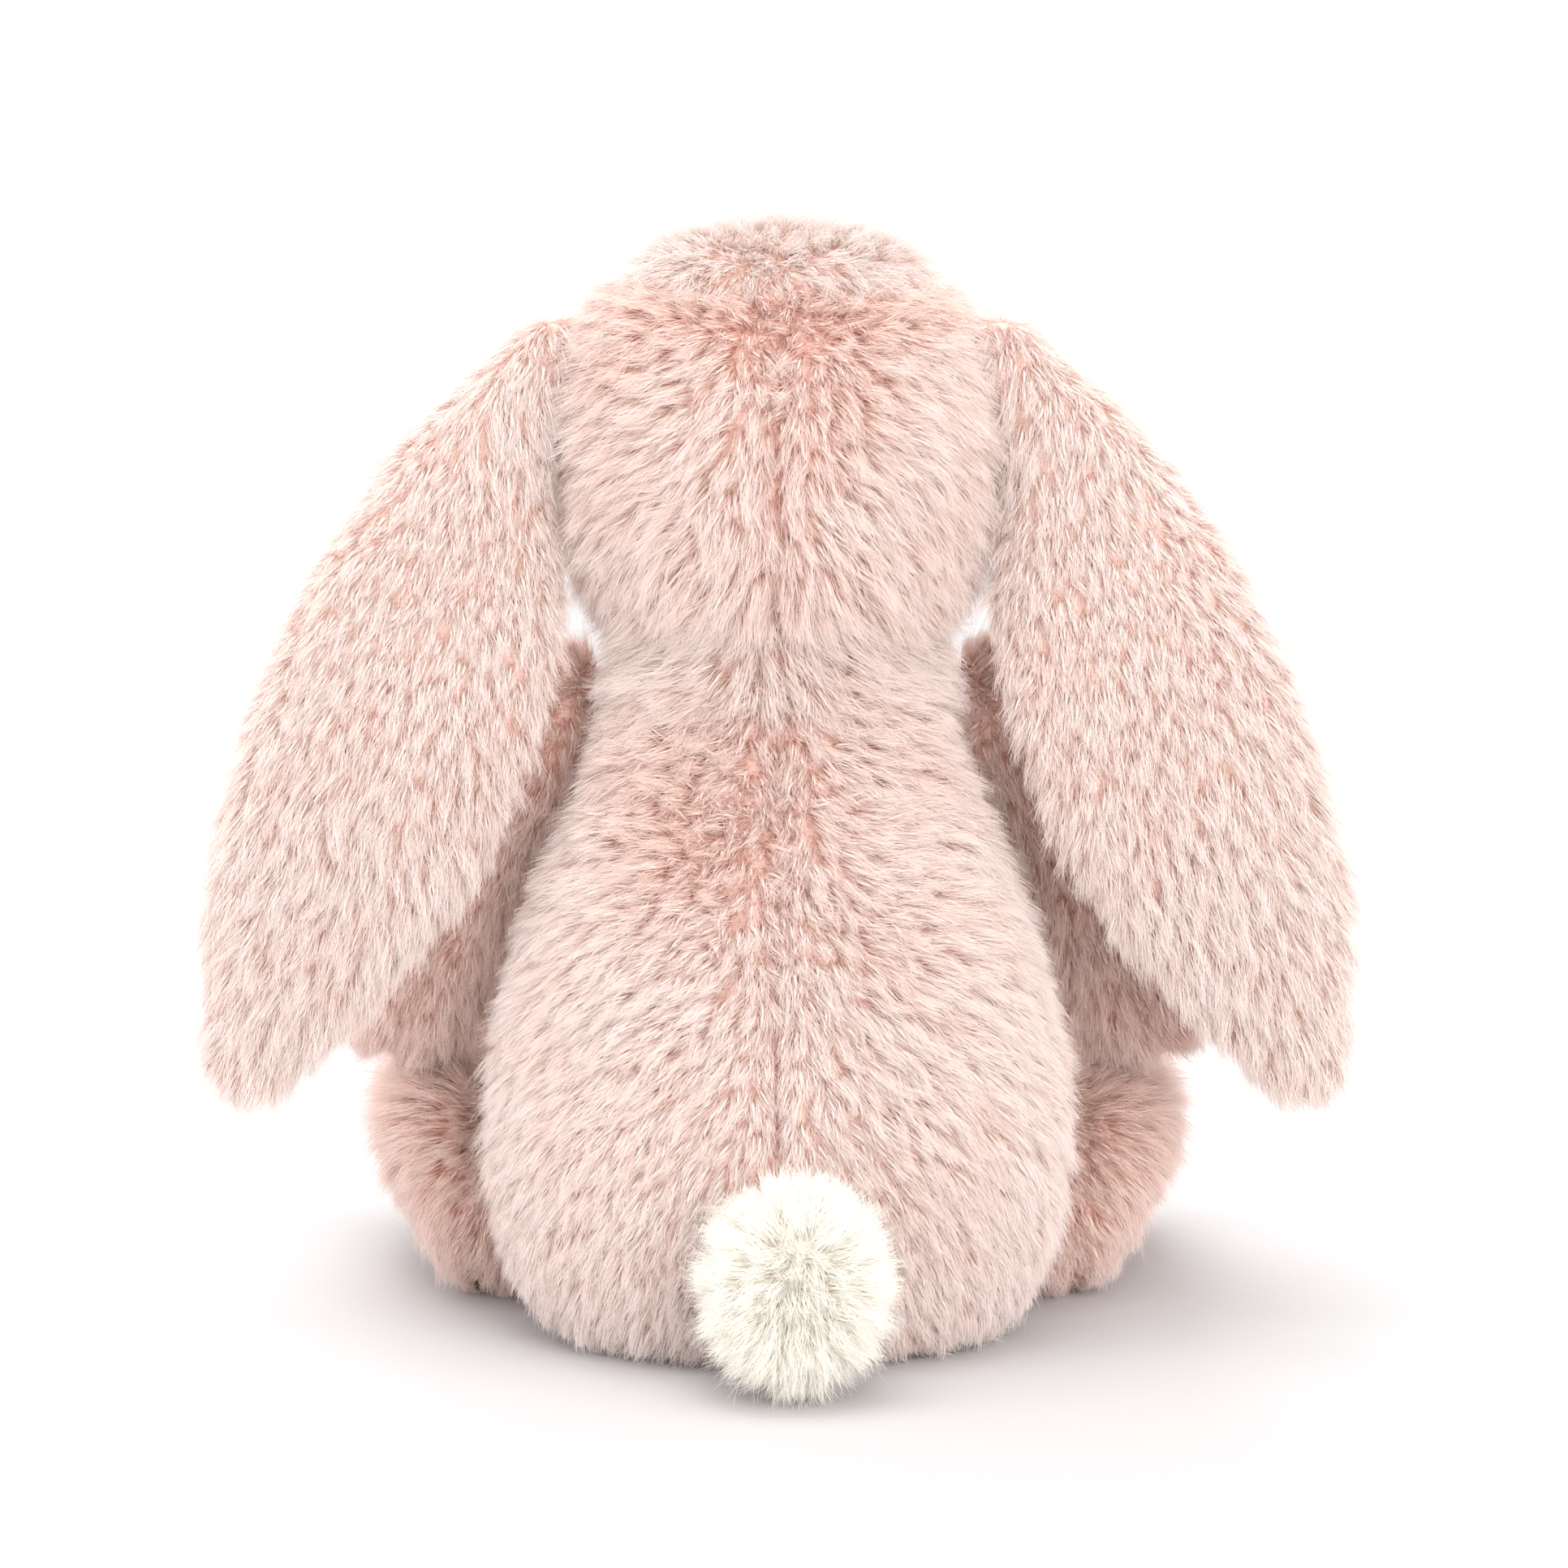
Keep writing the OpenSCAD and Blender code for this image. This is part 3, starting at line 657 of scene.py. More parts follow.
def scatter(obj, gap, rng):
    """Places spread evenly over a skin about a gap apart, and the skin's normal at each."""
    points, normals, corners, area = surface_of(obj)
    crowd = int(area.sum() / gap**2 * 7)
    pick = rng.choice(len(area), crowd, p=area / area.sum())
    u = np.sqrt(rng.random(crowd))
    v = rng.random(crowd)
    weight = np.stack([1 - u, u * (1 - v), u * v], axis=1)[:, :, None]
    place = (points[corners[pick]] * weight).sum(axis=1)
    normal = unit((normals[corners[pick]] * weight).sum(axis=1))
    keep = thinned(place, gap * 1.2)
    return place[keep], normal[keep]


def thinned(place, gap):
    """The indices of one place in each cell of a grid."""
    cell = np.floor(place / gap + 1000).astype(np.int64)
    key = (cell[:, 0] * 4001 + cell[:, 1]) * 4001 + cell[:, 2]
    return np.unique(key, return_index=True)[1]


def around_seeds(place, gap):
    """Seeds about a gap apart among some places, and the index of each place's nearest seed."""
    seeds = place[thinned(place, gap)]
    tree = KDTree(len(seeds))
    for k, seed in enumerate(seeds):
        tree.insert(seed, k)
    tree.balance()
    return seeds, np.array([tree.find(p)[1] for p in place])


def turned(vectors, axes, angles):
    """Vectors square to their axes, turned about them."""
    angles = angles[:, None]
    return vectors * np.cos(angles) + np.cross(axes, vectors) * np.sin(angles)


def make_guides(obj, flow_at, coat, rng, gap_share=1.0, wild_at=None):
    """The locks of one skin before their lengths and colours: roots, normals and the way they lie."""
    place, normal = scatter(obj, coat.lock_gap * gap_share, rng)
    count = len(place)
    way = flow_at(place, normal)
    way = unit(way - normal * (way * normal).sum(axis=1, keepdims=True))
    wild = np.ones(count) if wild_at is None else wild_at(place)
    swirl = 0.30 * drift(place, 16 * MM, 3) + 0.38 * drift(place, 6 * MM, 5)
    swirl = swirl + 0.12 * rng.standard_normal(count)
    way = turned(way, normal, swirl * wild)
    seeds, tuft = around_seeds(place, coat.tuft_gap)
    return {
        "root": place,
        "normal": normal,
        "flow": way,
        "length": coat.pile * (1 + 0.16 * rng.standard_normal(count)).clip(0.5, 1.5),
        "rise": np.radians(64 + 8 * rng.standard_normal(count)),
        "fall": np.radians(18 + 9 * rng.standard_normal(count)),
        "bend": 0.10 * rng.standard_normal(count),
        "width": np.full(count, coat.lock_width),
        "tone": (0.16 + 0.20 * drift(place, 9 * MM, 7) + 0.08 * rng.standard_normal(count)),
        "pull": (seeds[tuft] - place) * (0.38 * wild)[:, None],
        "slit": 0.95 * wild**2 * np.clip(0.55 + 0.7 * drift(place, 22 * MM, 19), 0, 1),
        "groove": np.zeros(count),
    }


def chosen(guides, mask):
    return {key: value[mask] for key, value in guides.items()}


def lock_path(guides, steps):
    """Places along each lock: it rises from the skin, leans over and ends near its tuft's middle."""
    s = np.asarray(steps)[None, :]
    start = guides["rise"][:, None]
    turn = np.minimum(guides["fall"][:, None] - start, -0.02)
    angle = start + turn * s
    reach = guides["length"][:, None]
    along = (np.sin(angle) - np.sin(start)) / turn * reach
    up = (np.cos(start) - np.cos(angle)) / turn * reach
    across = guides["bend"][:, None] * s**2 * reach
    side = np.cross(guides["normal"], guides["flow"])
    path = (
        guides["root"][:, None, :]
        + guides["flow"][:, None, :] * along[:, :, None]
        + guides["normal"][:, None, :] * up[:, :, None]
        + side[:, None, :] * across[:, :, None]
        + guides["pull"][:, None, :] * (s**1.4)[:, :, None]
    )
    return path, angle, side


LOCK_STEPS = (0.0, 0.38, 0.74, 1.0)
LOCK_WIDTHS = (0.62, 1.0, 0.62)
LOCK_SIDES = 3
LOCK_SHARE = 0.74  # a lock ends this far along its fibres


def lock_arrays(guides):
    """Points, quads and triangles, and a palette place for every corner, of curved pointed locks."""
    count = len(guides["root"])
    path, angle, side = lock_path({**guides, "length": guides["length"] * LOCK_SHARE}, LOCK_STEPS)
    rings = []
    for k, share in enumerate(LOCK_WIDTHS):
        half = (guides["width"] * share / 2)[:, None]
        up = guides["normal"] * np.cos(angle[:, k : k + 1]) - guides["flow"] * np.sin(angle[:, k : k + 1])
        for turn in range(LOCK_SIDES):
            around = math.pi / 2 + 2 * math.pi * turn / LOCK_SIDES
            rings.append(path[:, k] + side * half * math.cos(around) + up * half * 0.7 * math.sin(around))
    rings.append(path[:, -1])
    points = np.stack(rings, axis=1)
    points[:, :, 2] = np.maximum(points[:, :, 2], FLOOR_CLEAR)
    per_lock = points.shape[1]
    faces, places = [], []
    for k in range(len(LOCK_WIDTHS) - 1):
        for turn in range(LOCK_SIDES):
            a, b = k * LOCK_SIDES + turn, k * LOCK_SIDES + (turn + 1) % LOCK_SIDES
            faces.append([a, b, b + LOCK_SIDES, a + LOCK_SIDES])
            places.append([(turn, k), (turn + 1, k), (turn + 1, k + 1), (turn, k + 1)])
    tip = per_lock - 1
    last = len(LOCK_WIDTHS) - 1
    for turn in range(LOCK_SIDES):
        a, b = last * LOCK_SIDES + turn, last * LOCK_SIDES + (turn + 1) % LOCK_SIDES
        faces.append([a, b, tip])
        places.append([(turn, last), (turn + 1, last), (turn + 0.5, last + 1)])
    faces.append([2, 1, 0])
    places.append([(0, 0), (1, 0), (0.5, 0.2)])
    loops = np.array([v for face in faces for v in face])
    sizes = np.array([len(face) for face in faces])
    shift = np.arange(count)[:, None] * per_lock
    across = np.array([u for face in places for u, _ in face])
    along = np.array([LOCK_STEPS[int(v)] if v == int(v) else 0.05 for face in places for _, v in face])
    tone = guides["tone"].clip(0.02, 0.94)[:, None] + (across[None, :] - 1.5) * 0.012
    uv = np.stack([tone, np.broadcast_to(along * 0.96 + 0.02, tone.shape)], axis=2)
    return points.reshape(-1, 3), (shift + loops[None, :]).ravel(), np.tile(sizes, count), uv.reshape(-1, 2)


def locks_object(name, guides, material):
    """One mesh of closed locks, coloured through the palette map that the export keeps."""
    points, loops, sizes, uv = lock_arrays(guides)
    mesh = bpy.data.meshes.new(name)
    mesh.vertices.add(len(points))
    mesh.vertices.foreach_set("co", points.astype(np.float32).ravel())
    mesh.loops.add(len(loops))
    mesh.loops.foreach_set("vertex_index", loops.astype(np.int32))
    mesh.polygons.add(len(sizes))
    starts = np.concatenate([[0], np.cumsum(sizes)[:-1]])
    mesh.polygons.foreach_set("loop_start", starts.astype(np.int32))
    mesh.update(calc_edges=True)
    layer = mesh.uv_layers.new(name="OFBake")
    layer.data.foreach_set("uv", uv.astype(np.float32).ravel())
    obj = link(bpy.data.objects.new(name, mesh))
    finished(obj, material)
    return obj


FIBRE_STEPS = (0.0, 0.28, 0.55, 0.8, 1.0)
SLIT_HALF = 0.3 * MM  # half the width of a slit between tufts


def slits(many, gap, rng):
    """How deep each fibre stands in the short slits that open between tufts, along the way it lies."""
    seeds, nearest = around_seeds(many["root"], gap)
    offset = many["root"] - seeds[nearest]
    along = (offset * many["flow"]).sum(axis=1)
    across = np.linalg.norm(np.cross(offset, many["flow"]), axis=1)
    long = (0.7 + 1.1 * rng.random(len(seeds)))[nearest] * MM
    return near(along, long) * near(across, SLIT_HALF) * many["slit"]


def fibres_object(name, guides, coat, material, rng, spread=1.15, close=0.62):
    """Single fibres round each lock, which make the fine nap and the soft outline."""
    each = coat.strands
    count = len(guides["root"]) * each
    many = {key: np.repeat(value, each, axis=0) for key, value in guides.items()}
    side = np.cross(many["normal"], many["flow"])
    reach = np.sqrt(rng.random(count)) * coat.lock_gap * spread
    around = rng.random(count) * 2 * math.pi
    offset = side * (reach * np.cos(around))[:, None] + many["flow"] * (reach * np.sin(around))[:, None]
    many["root"] = many["root"] + offset - many["normal"] * 0.4 * MM
    many["pull"] = many["pull"] - offset * close
    many["length"] = many["length"] * (0.98 + 0.14 * rng.standard_normal(count)).clip(0.4, 1.35)
    many["rise"] = many["rise"] + 0.14 * rng.standard_normal(count)
    many["fall"] = many["fall"] + 0.16 * rng.standard_normal(count)
    many["bend"] = many["bend"] + 0.10 * rng.standard_normal(count)
    many["tone"] = (many["tone"] + 0.05 * rng.standard_normal(count)).clip(0, 1)
    # Fibres down in a slit or the back seam's groove are shortened, and painted towards the slit colour as
    # painted shade
    if many["slit"].any():
        groove = many["groove"] * near(many["root"][:, 0], 0.8 * MM)
        sunk_and_shaded = np.maximum(slits(many, coat.slit_gap, rng), groove)
        many["length"] = many["length"] * (1 - 0.7 * sunk_and_shaded)
        many["tone"] = many["tone"] + (2 - many["tone"]) * sunk_and_shaded.clip(0, 1)
    path = lock_path(many, FIBRE_STEPS)[0]
    path[:, :, 2] = np.maximum(path[:, :, 2], FLOOR_CLEAR)
    curves = bpy.data.hair_curves.new(name)
    curves.add_curves([len(FIBRE_STEPS)] * count)
    curves.attributes["position"].data.foreach_set("vector", path.astype(np.float32).ravel())
    thin = coat.fibre * (1 - 0.72 * np.array(FIBRE_STEPS) ** 1.5)
    radius = curves.attributes.get("radius") or curves.attributes.new("radius", "FLOAT", "POINT")
    radius.data.foreach_set("value", np.tile(thin, count).astype(np.float32))
    tone = curves.attributes.new("tone", "FLOAT", "CURVE")
    tone.data.foreach_set("value", many["tone"].astype(np.float32))
    curves.materials.append(material)
    return link(bpy.data.objects.new(name, curves))


# Ruffled spots: where on x and z their middle is and how far they reach, in mm, and how strong they are
TORSO_RUFFLES = [
    ((14, 108), (17, 22), 0.95),
    ((8, 128), (30, 10), 0.45),
    ((-16, 88), (16, 12), 0.30),
    ((-28, 118), (12, 16), 0.30),
]
HEAD_RUFFLES = [((0, 204), (40, 6.5), 1.0), ((-8, 192), (14, 7), 0.5), ((32, 196), (16, 8), 0.6)]


def ruffle_at(place, ruffles):
    total = np.zeros(len(place))
    for (x, z), (wide, tall), strength in ruffles:
        far = np.hypot((place[:, 0] / MM - x) / wide, (place[:, 2] / MM - z) / tall)
        total = np.maximum(total, strength * np.exp(-(far**2)))
    return total


def ruffled(guides, amount, rng):
    """Fur that was brushed up: it stands, points all ways, and shows its pink roots."""
    count = len(amount)
    guides["flow"] = turned(guides["flow"], guides["normal"], amount * 0.9 * rng.standard_normal(count))
    guides["rise"] = guides["rise"] + amount * 0.30
    guides["fall"] = guides["fall"] + amount * 0.55
    guides["tone"] = guides["tone"] + amount * 0.85
    guides["length"] = guides["length"] * (1 - 0.12 * amount)
    return guides


def combed_from_seam(guides, seam):
    """Beside a seam the pile is caught in the stitches: it is shorter and lower, and painted rosier and
    darker as painted shade along the seam. On the back it marks, now and then, where the seam's groove opens;
    fibres there sink and get the slit's painted shade.
    """
    caught = near(seam, 1.2 * MM)
    guides["length"] = guides["length"] * (1 - 0.30 * caught)
    guides["fall"] = guides["fall"] - 0.10 * caught
    # Painted shade along the seam: a rosier, darker tone
    guides["tone"] = guides["tone"] + 0.22 * near(seam, 1.6 * MM)
    guides["pull"] = guides["pull"] * (1 - caught[:, None])
    behind = guides["normal"][:, 1] > 0.2
    guides["groove"] = behind * np.clip(0.7 + 1.3 * drift(guides["root"], 9 * MM, 23), 0.1, 1)
    return guides


def shortened(guides, coat, share):
    """Turns long fur into the short even pile of a face, a crown or a sole."""
    guides["length"] = guides["length"] * (coat.short_pile / coat.pile * share)
    guides["width"] = guides["width"] * 0.62
    guides["pull"] = guides["pull"] * 0.25
    guides["tone"] = (guides["tone"] + 0.55).clip(0, 1)
    guides["fall"] = guides["fall"] + math.radians(6)
    guides["slit"] = np.zeros(len(guides["root"]))
    return guides


def away_from(guides, place, clear, reach):
    """Thins and flattens the pile round a small fitting, so that it stays in sight."""
    offset = guides["root"] - place
    far = np.linalg.norm(offset, axis=1)
    outward = unit(offset - guides["normal"] * (offset * guides["normal"]).sum(axis=1, keepdims=True))
    turn = near(np.maximum(far - clear, 0), reach)[:, None]
    guides["flow"] = unit(guides["flow"] * (1 - turn) + outward * turn)
    guides["length"] = guides["length"] * (1 - 0.45 * turn[:, 0])
    return chosen(guides, far > clear)


def parted(place, top_angle, low_angle, low, high):
    """Down beside a seam on x = 0, then turning outward away from it, more so from low up to high."""
    far = np.abs(place[:, 0]) / MM
    up = np.clip((place[:, 2] / MM - low) / (high - low), 0, 1)
    most = np.radians(low_angle + (top_angle - low_angle) * up)
    angle = most * (1 - near(far, 13)) * (0.45 + 0.55 * near(far, 45)) + math.radians(8)
    return np.stack([np.sign(place[:, 0]) * np.sin(angle), np.zeros(len(far)), -np.cos(angle)], axis=1)


def torso_flow(place, normal):
    """Out from the back seam and down; straight down low on the body and on the belly."""
    behind = parted(place, 76, 12, 25, 108)
    front = parted(place, 25, 5, 25, 108)
    share = np.clip(normal[:, 1:2] * 3 + 0.5, 0, 1)
    return behind * share + front * (1 - share)


def head_flow(place, normal):
    """Back over the crown, then out from the seam and down; off the muzzle on the face."""
    middle = middle_of("head_stuffing")
    x = place[:, 0]
    top = np.clip((place[:, 2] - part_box("crown_panel")[0][2]) / (8 * MM), 0, 1)
    down = parted(place, 62, 30, 145, 195)
    over = np.stack([x * 12, np.full(len(x), 1.0), np.full(len(x), -0.2)], axis=1)
    nose = middle_of("nose")
    muzzle = unit(place - nose)
    front = np.clip((middle[1] - place[:, 1]) / (20 * MM), 0, 1) * (1 - top)
    back = down * (1 - top[:, None]) + over * top[:, None]
    return back * (1 - front[:, None]) + muzzle * front[:, None]


def radial_flow(centre, lean):
    """Away from a root, as fur lies along a limb or an ear, with a lean added."""

    def flow_at(place, normal):
        return unit(place - centre) + np.array(lean)

    return flow_at


PILES = {
    "torso_back_left": "long",
    "torso_back_right": "long",
    "belly_panel": "long",
    "seat_panel": "seat",
    "head_back_left": "long",
    "head_back_right": "long",
    "face_left": "short",
    "face_right": "short",
    "crown_panel": "crown",
}
for side in SIDES:
    PILES[f"ear_{side}_fur"] = "ear"
    PILES[f"ear_{side}_lining"] = "lining"
    PILES[f"arm_{side}_outer"] = "long"
    PILES[f"arm_{side}_inner"] = "long"
    PILES[f"leg_{side}_outer"] = "long"
    PILES[f"leg_{side}_inner"] = "long"
    PILES[f"foot_sole_{side}"] = "sole"


# The length of each kind of short pile, as a share of the coat's short pile
SHORT_SHARES = {"short": 1.0, "crown": 1.7, "sole": 0.8, "lining": 0.75, "seat": 0.6}
# How far the pile keeps clear of the middle of each fitting of the face, in mm
FACE_CLEAR = {"eye_left": 4.4, "eye_right": 4.4, "nose": 5.0}
SEAM_OPEN = 1.1 * MM  # no lock grows nearer than this to the open back seam


def grow_pile(skin_name, flow_at, ruffles, seed, context, wild_at=None, length_at=None, rosy_shade=0.0):
    """Grows the pile of every panel of a skin, as a piece of locks and fibres for each panel."""
    coat = context.scene.rabbit_coat
    rng = np.random.default_rng(seed)
    plan = SKINS[skin_name]
    skin = bpy.data.objects[skin_name]
    guides = make_guides(skin, flow_at, coat, rng, wild_at=wild_at)
    # Painted shade: a rosier, darker tone added over the whole skin
    guides["tone"] = guides["tone"] + rosy_shade
    if length_at is not None:
        guides["length"] = guides["length"] * length_at(guides["root"])
    panel, seam = sewn_from(guides["root"], plan["panels"])
    ruffle = ruffle_at(guides["root"], ruffles) * (guides["normal"][:, 1] > -0.2)
    smooth = [k for k, node in enumerate(plan["panels"]) if PILES[node] == "crown"]
    guides = ruffled(guides, ruffle * ~np.isin(panel, smooth), rng)
    if "ear" not in skin_name:
        guides = combed_from_seam(guides, seam)
    for k, node in enumerate(plan["panels"]):
        kind = PILES[node]
        mine = chosen(guides, panel == k)
        if kind in SHORT_SHARES:
            mine = shortened(mine, coat, SHORT_SHARES[kind])
        if kind == "crown":
            # The crown keeps a low, pale tone: partly its paler short pile, partly painted light where the
            # top light falls
            mine["tone"] = 0.08 + 0.05 * rng.standard_normal(len(mine["root"]))
            behind = np.clip(mine["root"][:, 1] / (14 * MM) + 0.2, 0, 1)
            mine["length"] = mine["length"] * (0.7 + 0.3 * behind)
            mine["rise"] = mine["rise"] - 0.3
            mine["pull"] = mine["pull"] * 0.4
        if kind == "ear":
            mine = ear_pile(mine, plan["body"])
        if kind == "short":
            brow = near(mine["root"][:, 2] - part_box("crown_panel")[0].z, 7 * MM)
            mine["length"] = mine["length"] * (1 + 0.35 * brow)
            for fitting, clear in FACE_CLEAR.items():
                mine = away_from(mine, middle_of(fitting), clear * MM, 4 * MM)
        paint = "short" if kind in SHORT_SHARES else "long"
        open_seam = (mine["groove"] > 0.3) & (np.abs(mine["root"][:, 0]) < SEAM_OPEN)
        material = bpy.data.materials[f"{paint}_plush_locks"]
        locks = locks_object(f"{node}_pile", chosen(mine, ~open_seam), material)
        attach(locks, plan["body"])
        material = bpy.data.materials[f"{paint}_plush_fibres"]
        fibres = fibres_object(f"{node}_fibres", mine, coat, material, rng)
        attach(fibres, plan["body"])


def ear_pile(guides, body):
    """The back of an ear: long fans at its gathered root, then finer and flatter towards the tip."""
    root = joint_place(f"{body}_lift")
    far = np.linalg.norm(guides["root"] - root, axis=1)
    fan = near(far, 38 * MM)
    fine = np.clip((far - 45 * MM) / (60 * MM), 0, 1)
    guides["length"] = guides["length"] * (0.72 + 0.2 * fan + 0.28 * fine)
    guides["rise"] = guides["rise"] - 0.30 * fan - 0.10 * fine
    guides["fall"] = guides["fall"] - 0.20 * fan
    guides["tone"] = guides["tone"] - 0.08 * fine
    guides["width"] = guides["width"] * (1 - 0.25 * fine)
    guides["pull"] = guides["pull"] * (1 - 0.5 * fine)[:, None]
    return guides


class RABBIT_OT_coat_materials(bpy.types.Operator):
    """Makes the plush materials that the pile and the tail share"""

    bl_idname = "rabbit.coat_materials"
    bl_label = "Plush materials"

    def execute(self, context):
        coat = context.scene.rabbit_coat
        for kind, paint in (("long", pile_colour), ("short", short_colour), ("yarn", yarn_colour)):
            lock_material(f"{kind}_plush_locks", paint, coat)
            fibre_material(f"{kind}_plush_fibres", paint, coat)
        return {"FINISHED"}


class RABBIT_OT_torso_pile(bpy.types.Operator):
    """Grows the fur of the torso"""

    bl_idname = "rabbit.torso_pile"
    bl_label = "Torso fur"

    def execute(self, context):

        def wild_at(place):
            return np.clip(place[:, 2] / (95 * MM), 0.3, 1)

        def length_at(place):
            return np.clip(0.68 + place[:, 2] / (250 * MM), 0.68, 1)

        grow_pile("torso_skin", torso_flow, TORSO_RUFFLES, 11, context, wild_at, length_at)
        return {"FINISHED"}


class RABBIT_OT_head_pile(bpy.types.Operator):
    """Grows the fur of the head and face"""

    bl_idname = "rabbit.head_pile"
    bl_label = "Head fur"

    def execute(self, context):

        def length_at(place):
            lower = near(place[:, 2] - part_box("head_back_left")[0].z, 14 * MM)
            ear_far = [np.linalg.norm(place - joint_place(f"ear_{side}_lift"), axis=1) for side in SIDES]
            return 1 + 0.3 * lower + 0.5 * near(np.minimum(*ear_far), 18 * MM)

        # The head's fur is made rosier and darker: painted shade
        grow_pile("head_skin", head_flow, HEAD_RUFFLES, 12, context, length_at=length_at, rosy_shade=0.22)
        return {"FINISHED"}


class RABBIT_OT_ear_pile(bpy.types.Operator):
    """Grows the fur and the lining of both ears"""

    bl_idname = "rabbit.ear_pile"
    bl_label = "Ear fur"

    def execute(self, context):

        def wild_at(place):
            return np.full(len(place), 0.42)

        for k, side in enumerate(SIDES):
            above_root = joint_place(f"ear_{side}_lift") + [0, 0, 30 * MM]
            flow_at = radial_flow(above_root, (0, 0, 0))
            grow_pile(f"ear_{side}_skin", flow_at, [], 13 + k, context, wild_at)
        return {"FINISHED"}


class RABBIT_OT_limb_pile(bpy.types.Operator):
    """Grows the fur of the arms and legs"""

    bl_idname = "rabbit.limb_pile"
    bl_label = "Limb fur"

    def execute(self, context):

        def wild_at(place):
            return np.full(len(place), 0.5)

        def arm_length(place):
            return np.full(len(place), 0.8)

        def leg_length(place):
            return 0.6 + 0.62 * np.clip(place[:, 2] / (42 * MM), 0, 1)

        # The arms' and legs' fur is made rosier and darker: partly painted shade, partly their rosier colour
        for k, side in enumerate(SIDES):
            out = 1 if side == "left" else -1
            shoulder = joint_place(f"arm_{side}_raise")
            arm_flow = radial_flow(shoulder, (0, 0, -0.2))
            grow_pile(f"arm_{side}_skin", arm_flow, [], 15 + k, context, wild_at, arm_length, 0.7)
            hip = joint_place(f"leg_{side}_splay")
            leg_flow = radial_flow(hip, (0.5 * out, -0.3, -1.0))
            grow_pile(f"leg_{side}_skin", leg_flow, [], 17 + k, context, wild_at, leg_length, 0.8)
        return {"FINISHED"}


# ---- tail ------------------------------------------------------------------------------------------


class RABBIT_OT_tail(bpy.types.Operator):
    """Makes the pompom tail: yarn ends that fan out from the middle of its back"""

    bl_idname = "rabbit.tail"
    bl_label = "Pompom tail"

    def execute(self, context):
        coat = context.scene.rabbit_coat
        rng = np.random.default_rng(21)
        core = remeshed("tail_core", ["tail_cover", "tail_stuffing"], 2 * MM, 4)
        aside = np.array([-3.5 * MM, 0, 1 * MM])  # the pompom hangs a little off the seam
        pushed(core.data, -5 * MM, aside)
        # The core is the yarn's colour at 85%: painted shade down between the strands, where only the core
        # shows
        finished(core, knit_material("felted_yarn_core", [c * 0.85 for c in coat.yarn], 1.2 * MM))
        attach(core, "tail")
        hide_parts("tail_cover")
        low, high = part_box("tail_cover")
        heart = Vector(((low.x + high.x) / 2, high.y + 6 * MM, (low.z + high.z) / 2 + 1 * MM)) + Vector(aside)

        def fan(place, normal):
            off = np.hypot(place[:, 0] - heart.x, place[:, 2] - heart.z)
            hang = near(off, 9 * MM)[:, None]
            return unit(place - np.array(heart)) * (1 - hang) + np.array([0.25, 0, -1]) * hang

        guides = make_guides(core, fan, coat, rng, 0.8)
        count = len(guides["root"])
        inner = near(np.linalg.norm(guides["root"] - np.array(heart), axis=1), 16 * MM)
        stray = (0.45 + 0.5 * inner) * rng.standard_normal(count)
        guides["flow"] = turned(guides["flow"], guides["normal"], stray)
        guides["length"] = 7.9 * MM * (1 + 0.13 * rng.standard_normal(count))
        guides["rise"] = np.radians(78 + 10 * rng.standard_normal(count)) + 0.1 * inner
        guides["fall"] = np.radians(48 + 18 * rng.standard_normal(count)) + 0.35 * inner
        guides["tone"] = rng.random(count)
        guides["slit"] = np.zeros(count)
        guides["width"] = guides["width"] * 0.95
        locks = locks_object("tail_pompom", guides, bpy.data.materials["yarn_plush_locks"])
        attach(locks, "tail")
        material = bpy.data.materials["yarn_plush_fibres"]
        fibres = fibres_object("tail_fibres", guides, coat, material, rng, 1.2, 0.5)
        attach(fibres, "tail")
        return {"FINISHED"}


# ---- face ------------------------------------------------------------------------------------------


NO_PATH = (0.31, 0.2, 0.93)  # a direction that no thread runs in
MOUTH_PLY = 0.32 * MM
LADDER_PLY = 0.22 * MM


def tube(points, radius, sides=8):
    """Points and faces of a round tube with tapered ends along a path."""
    path = np.asarray(points, float)
    way = unit(np.gradient(path, axis=0))
    side = unit(np.cross(way, NO_PATH))
    up = np.cross(side, way)
    around = np.arange(sides) * 2 * math.pi / sides
    size = np.full(len(path), radius)
    size[0] = size[-1] = radius * 0.35
    rings = [
        path[k] + size[k] * (np.outer(np.cos(around), side[k]) + np.outer(np.sin(around), up[k]))
        for k in range(len(path))
    ]
    faces = [
        [k * sides + t, k * sides + (t + 1) % sides, (k + 1) * sides + (t + 1) % sides, (k + 1) * sides + t]
        for k in range(len(path) - 1)
        for t in range(sides)
    ]
    faces.append(list(range(sides))[::-1])
    faces.append([(len(path) - 1) * sides + t for t in range(sides)])
    return np.vstack(rings), faces


def joined_tubes(parts):
    """The points and faces of several closed forms as one list of each."""
    points, faces, base = [], [], 0
    for ring_points, ring_faces in parts:
        points.append(ring_points)
        faces += [[v + base for v in face] for face in ring_faces]
        base += len(ring_points)
    return np.vstack(points), faces


def twisted(path, ply_radius, pitch):
    """Two plies twisted round a path, as sewing thread is."""
    path = np.asarray(path, float)
    length_at = np.concatenate([[0], np.cumsum(np.linalg.norm(np.diff(path, axis=0), axis=1))])
    fine = np.linspace(0, length_at[-1], max(8, int(length_at[-1] / pitch * 8)))
    line = np.stack([np.interp(fine, length_at, path[:, k]) for k in range(3)], axis=1)
    way = unit(np.gradient(line, axis=0))
    side = unit(np.cross(way, NO_PATH))
    up = np.cross(side, way)
    turn = (fine / pitch * 2 * math.pi)[:, None]
    plies = []
    for half in (0, math.pi):
        offset = side * np.cos(turn + half) + up * np.sin(turn + half)
        plies.append(tube(line + ply_radius * offset, ply_radius * 1.05, 6))
    return plies


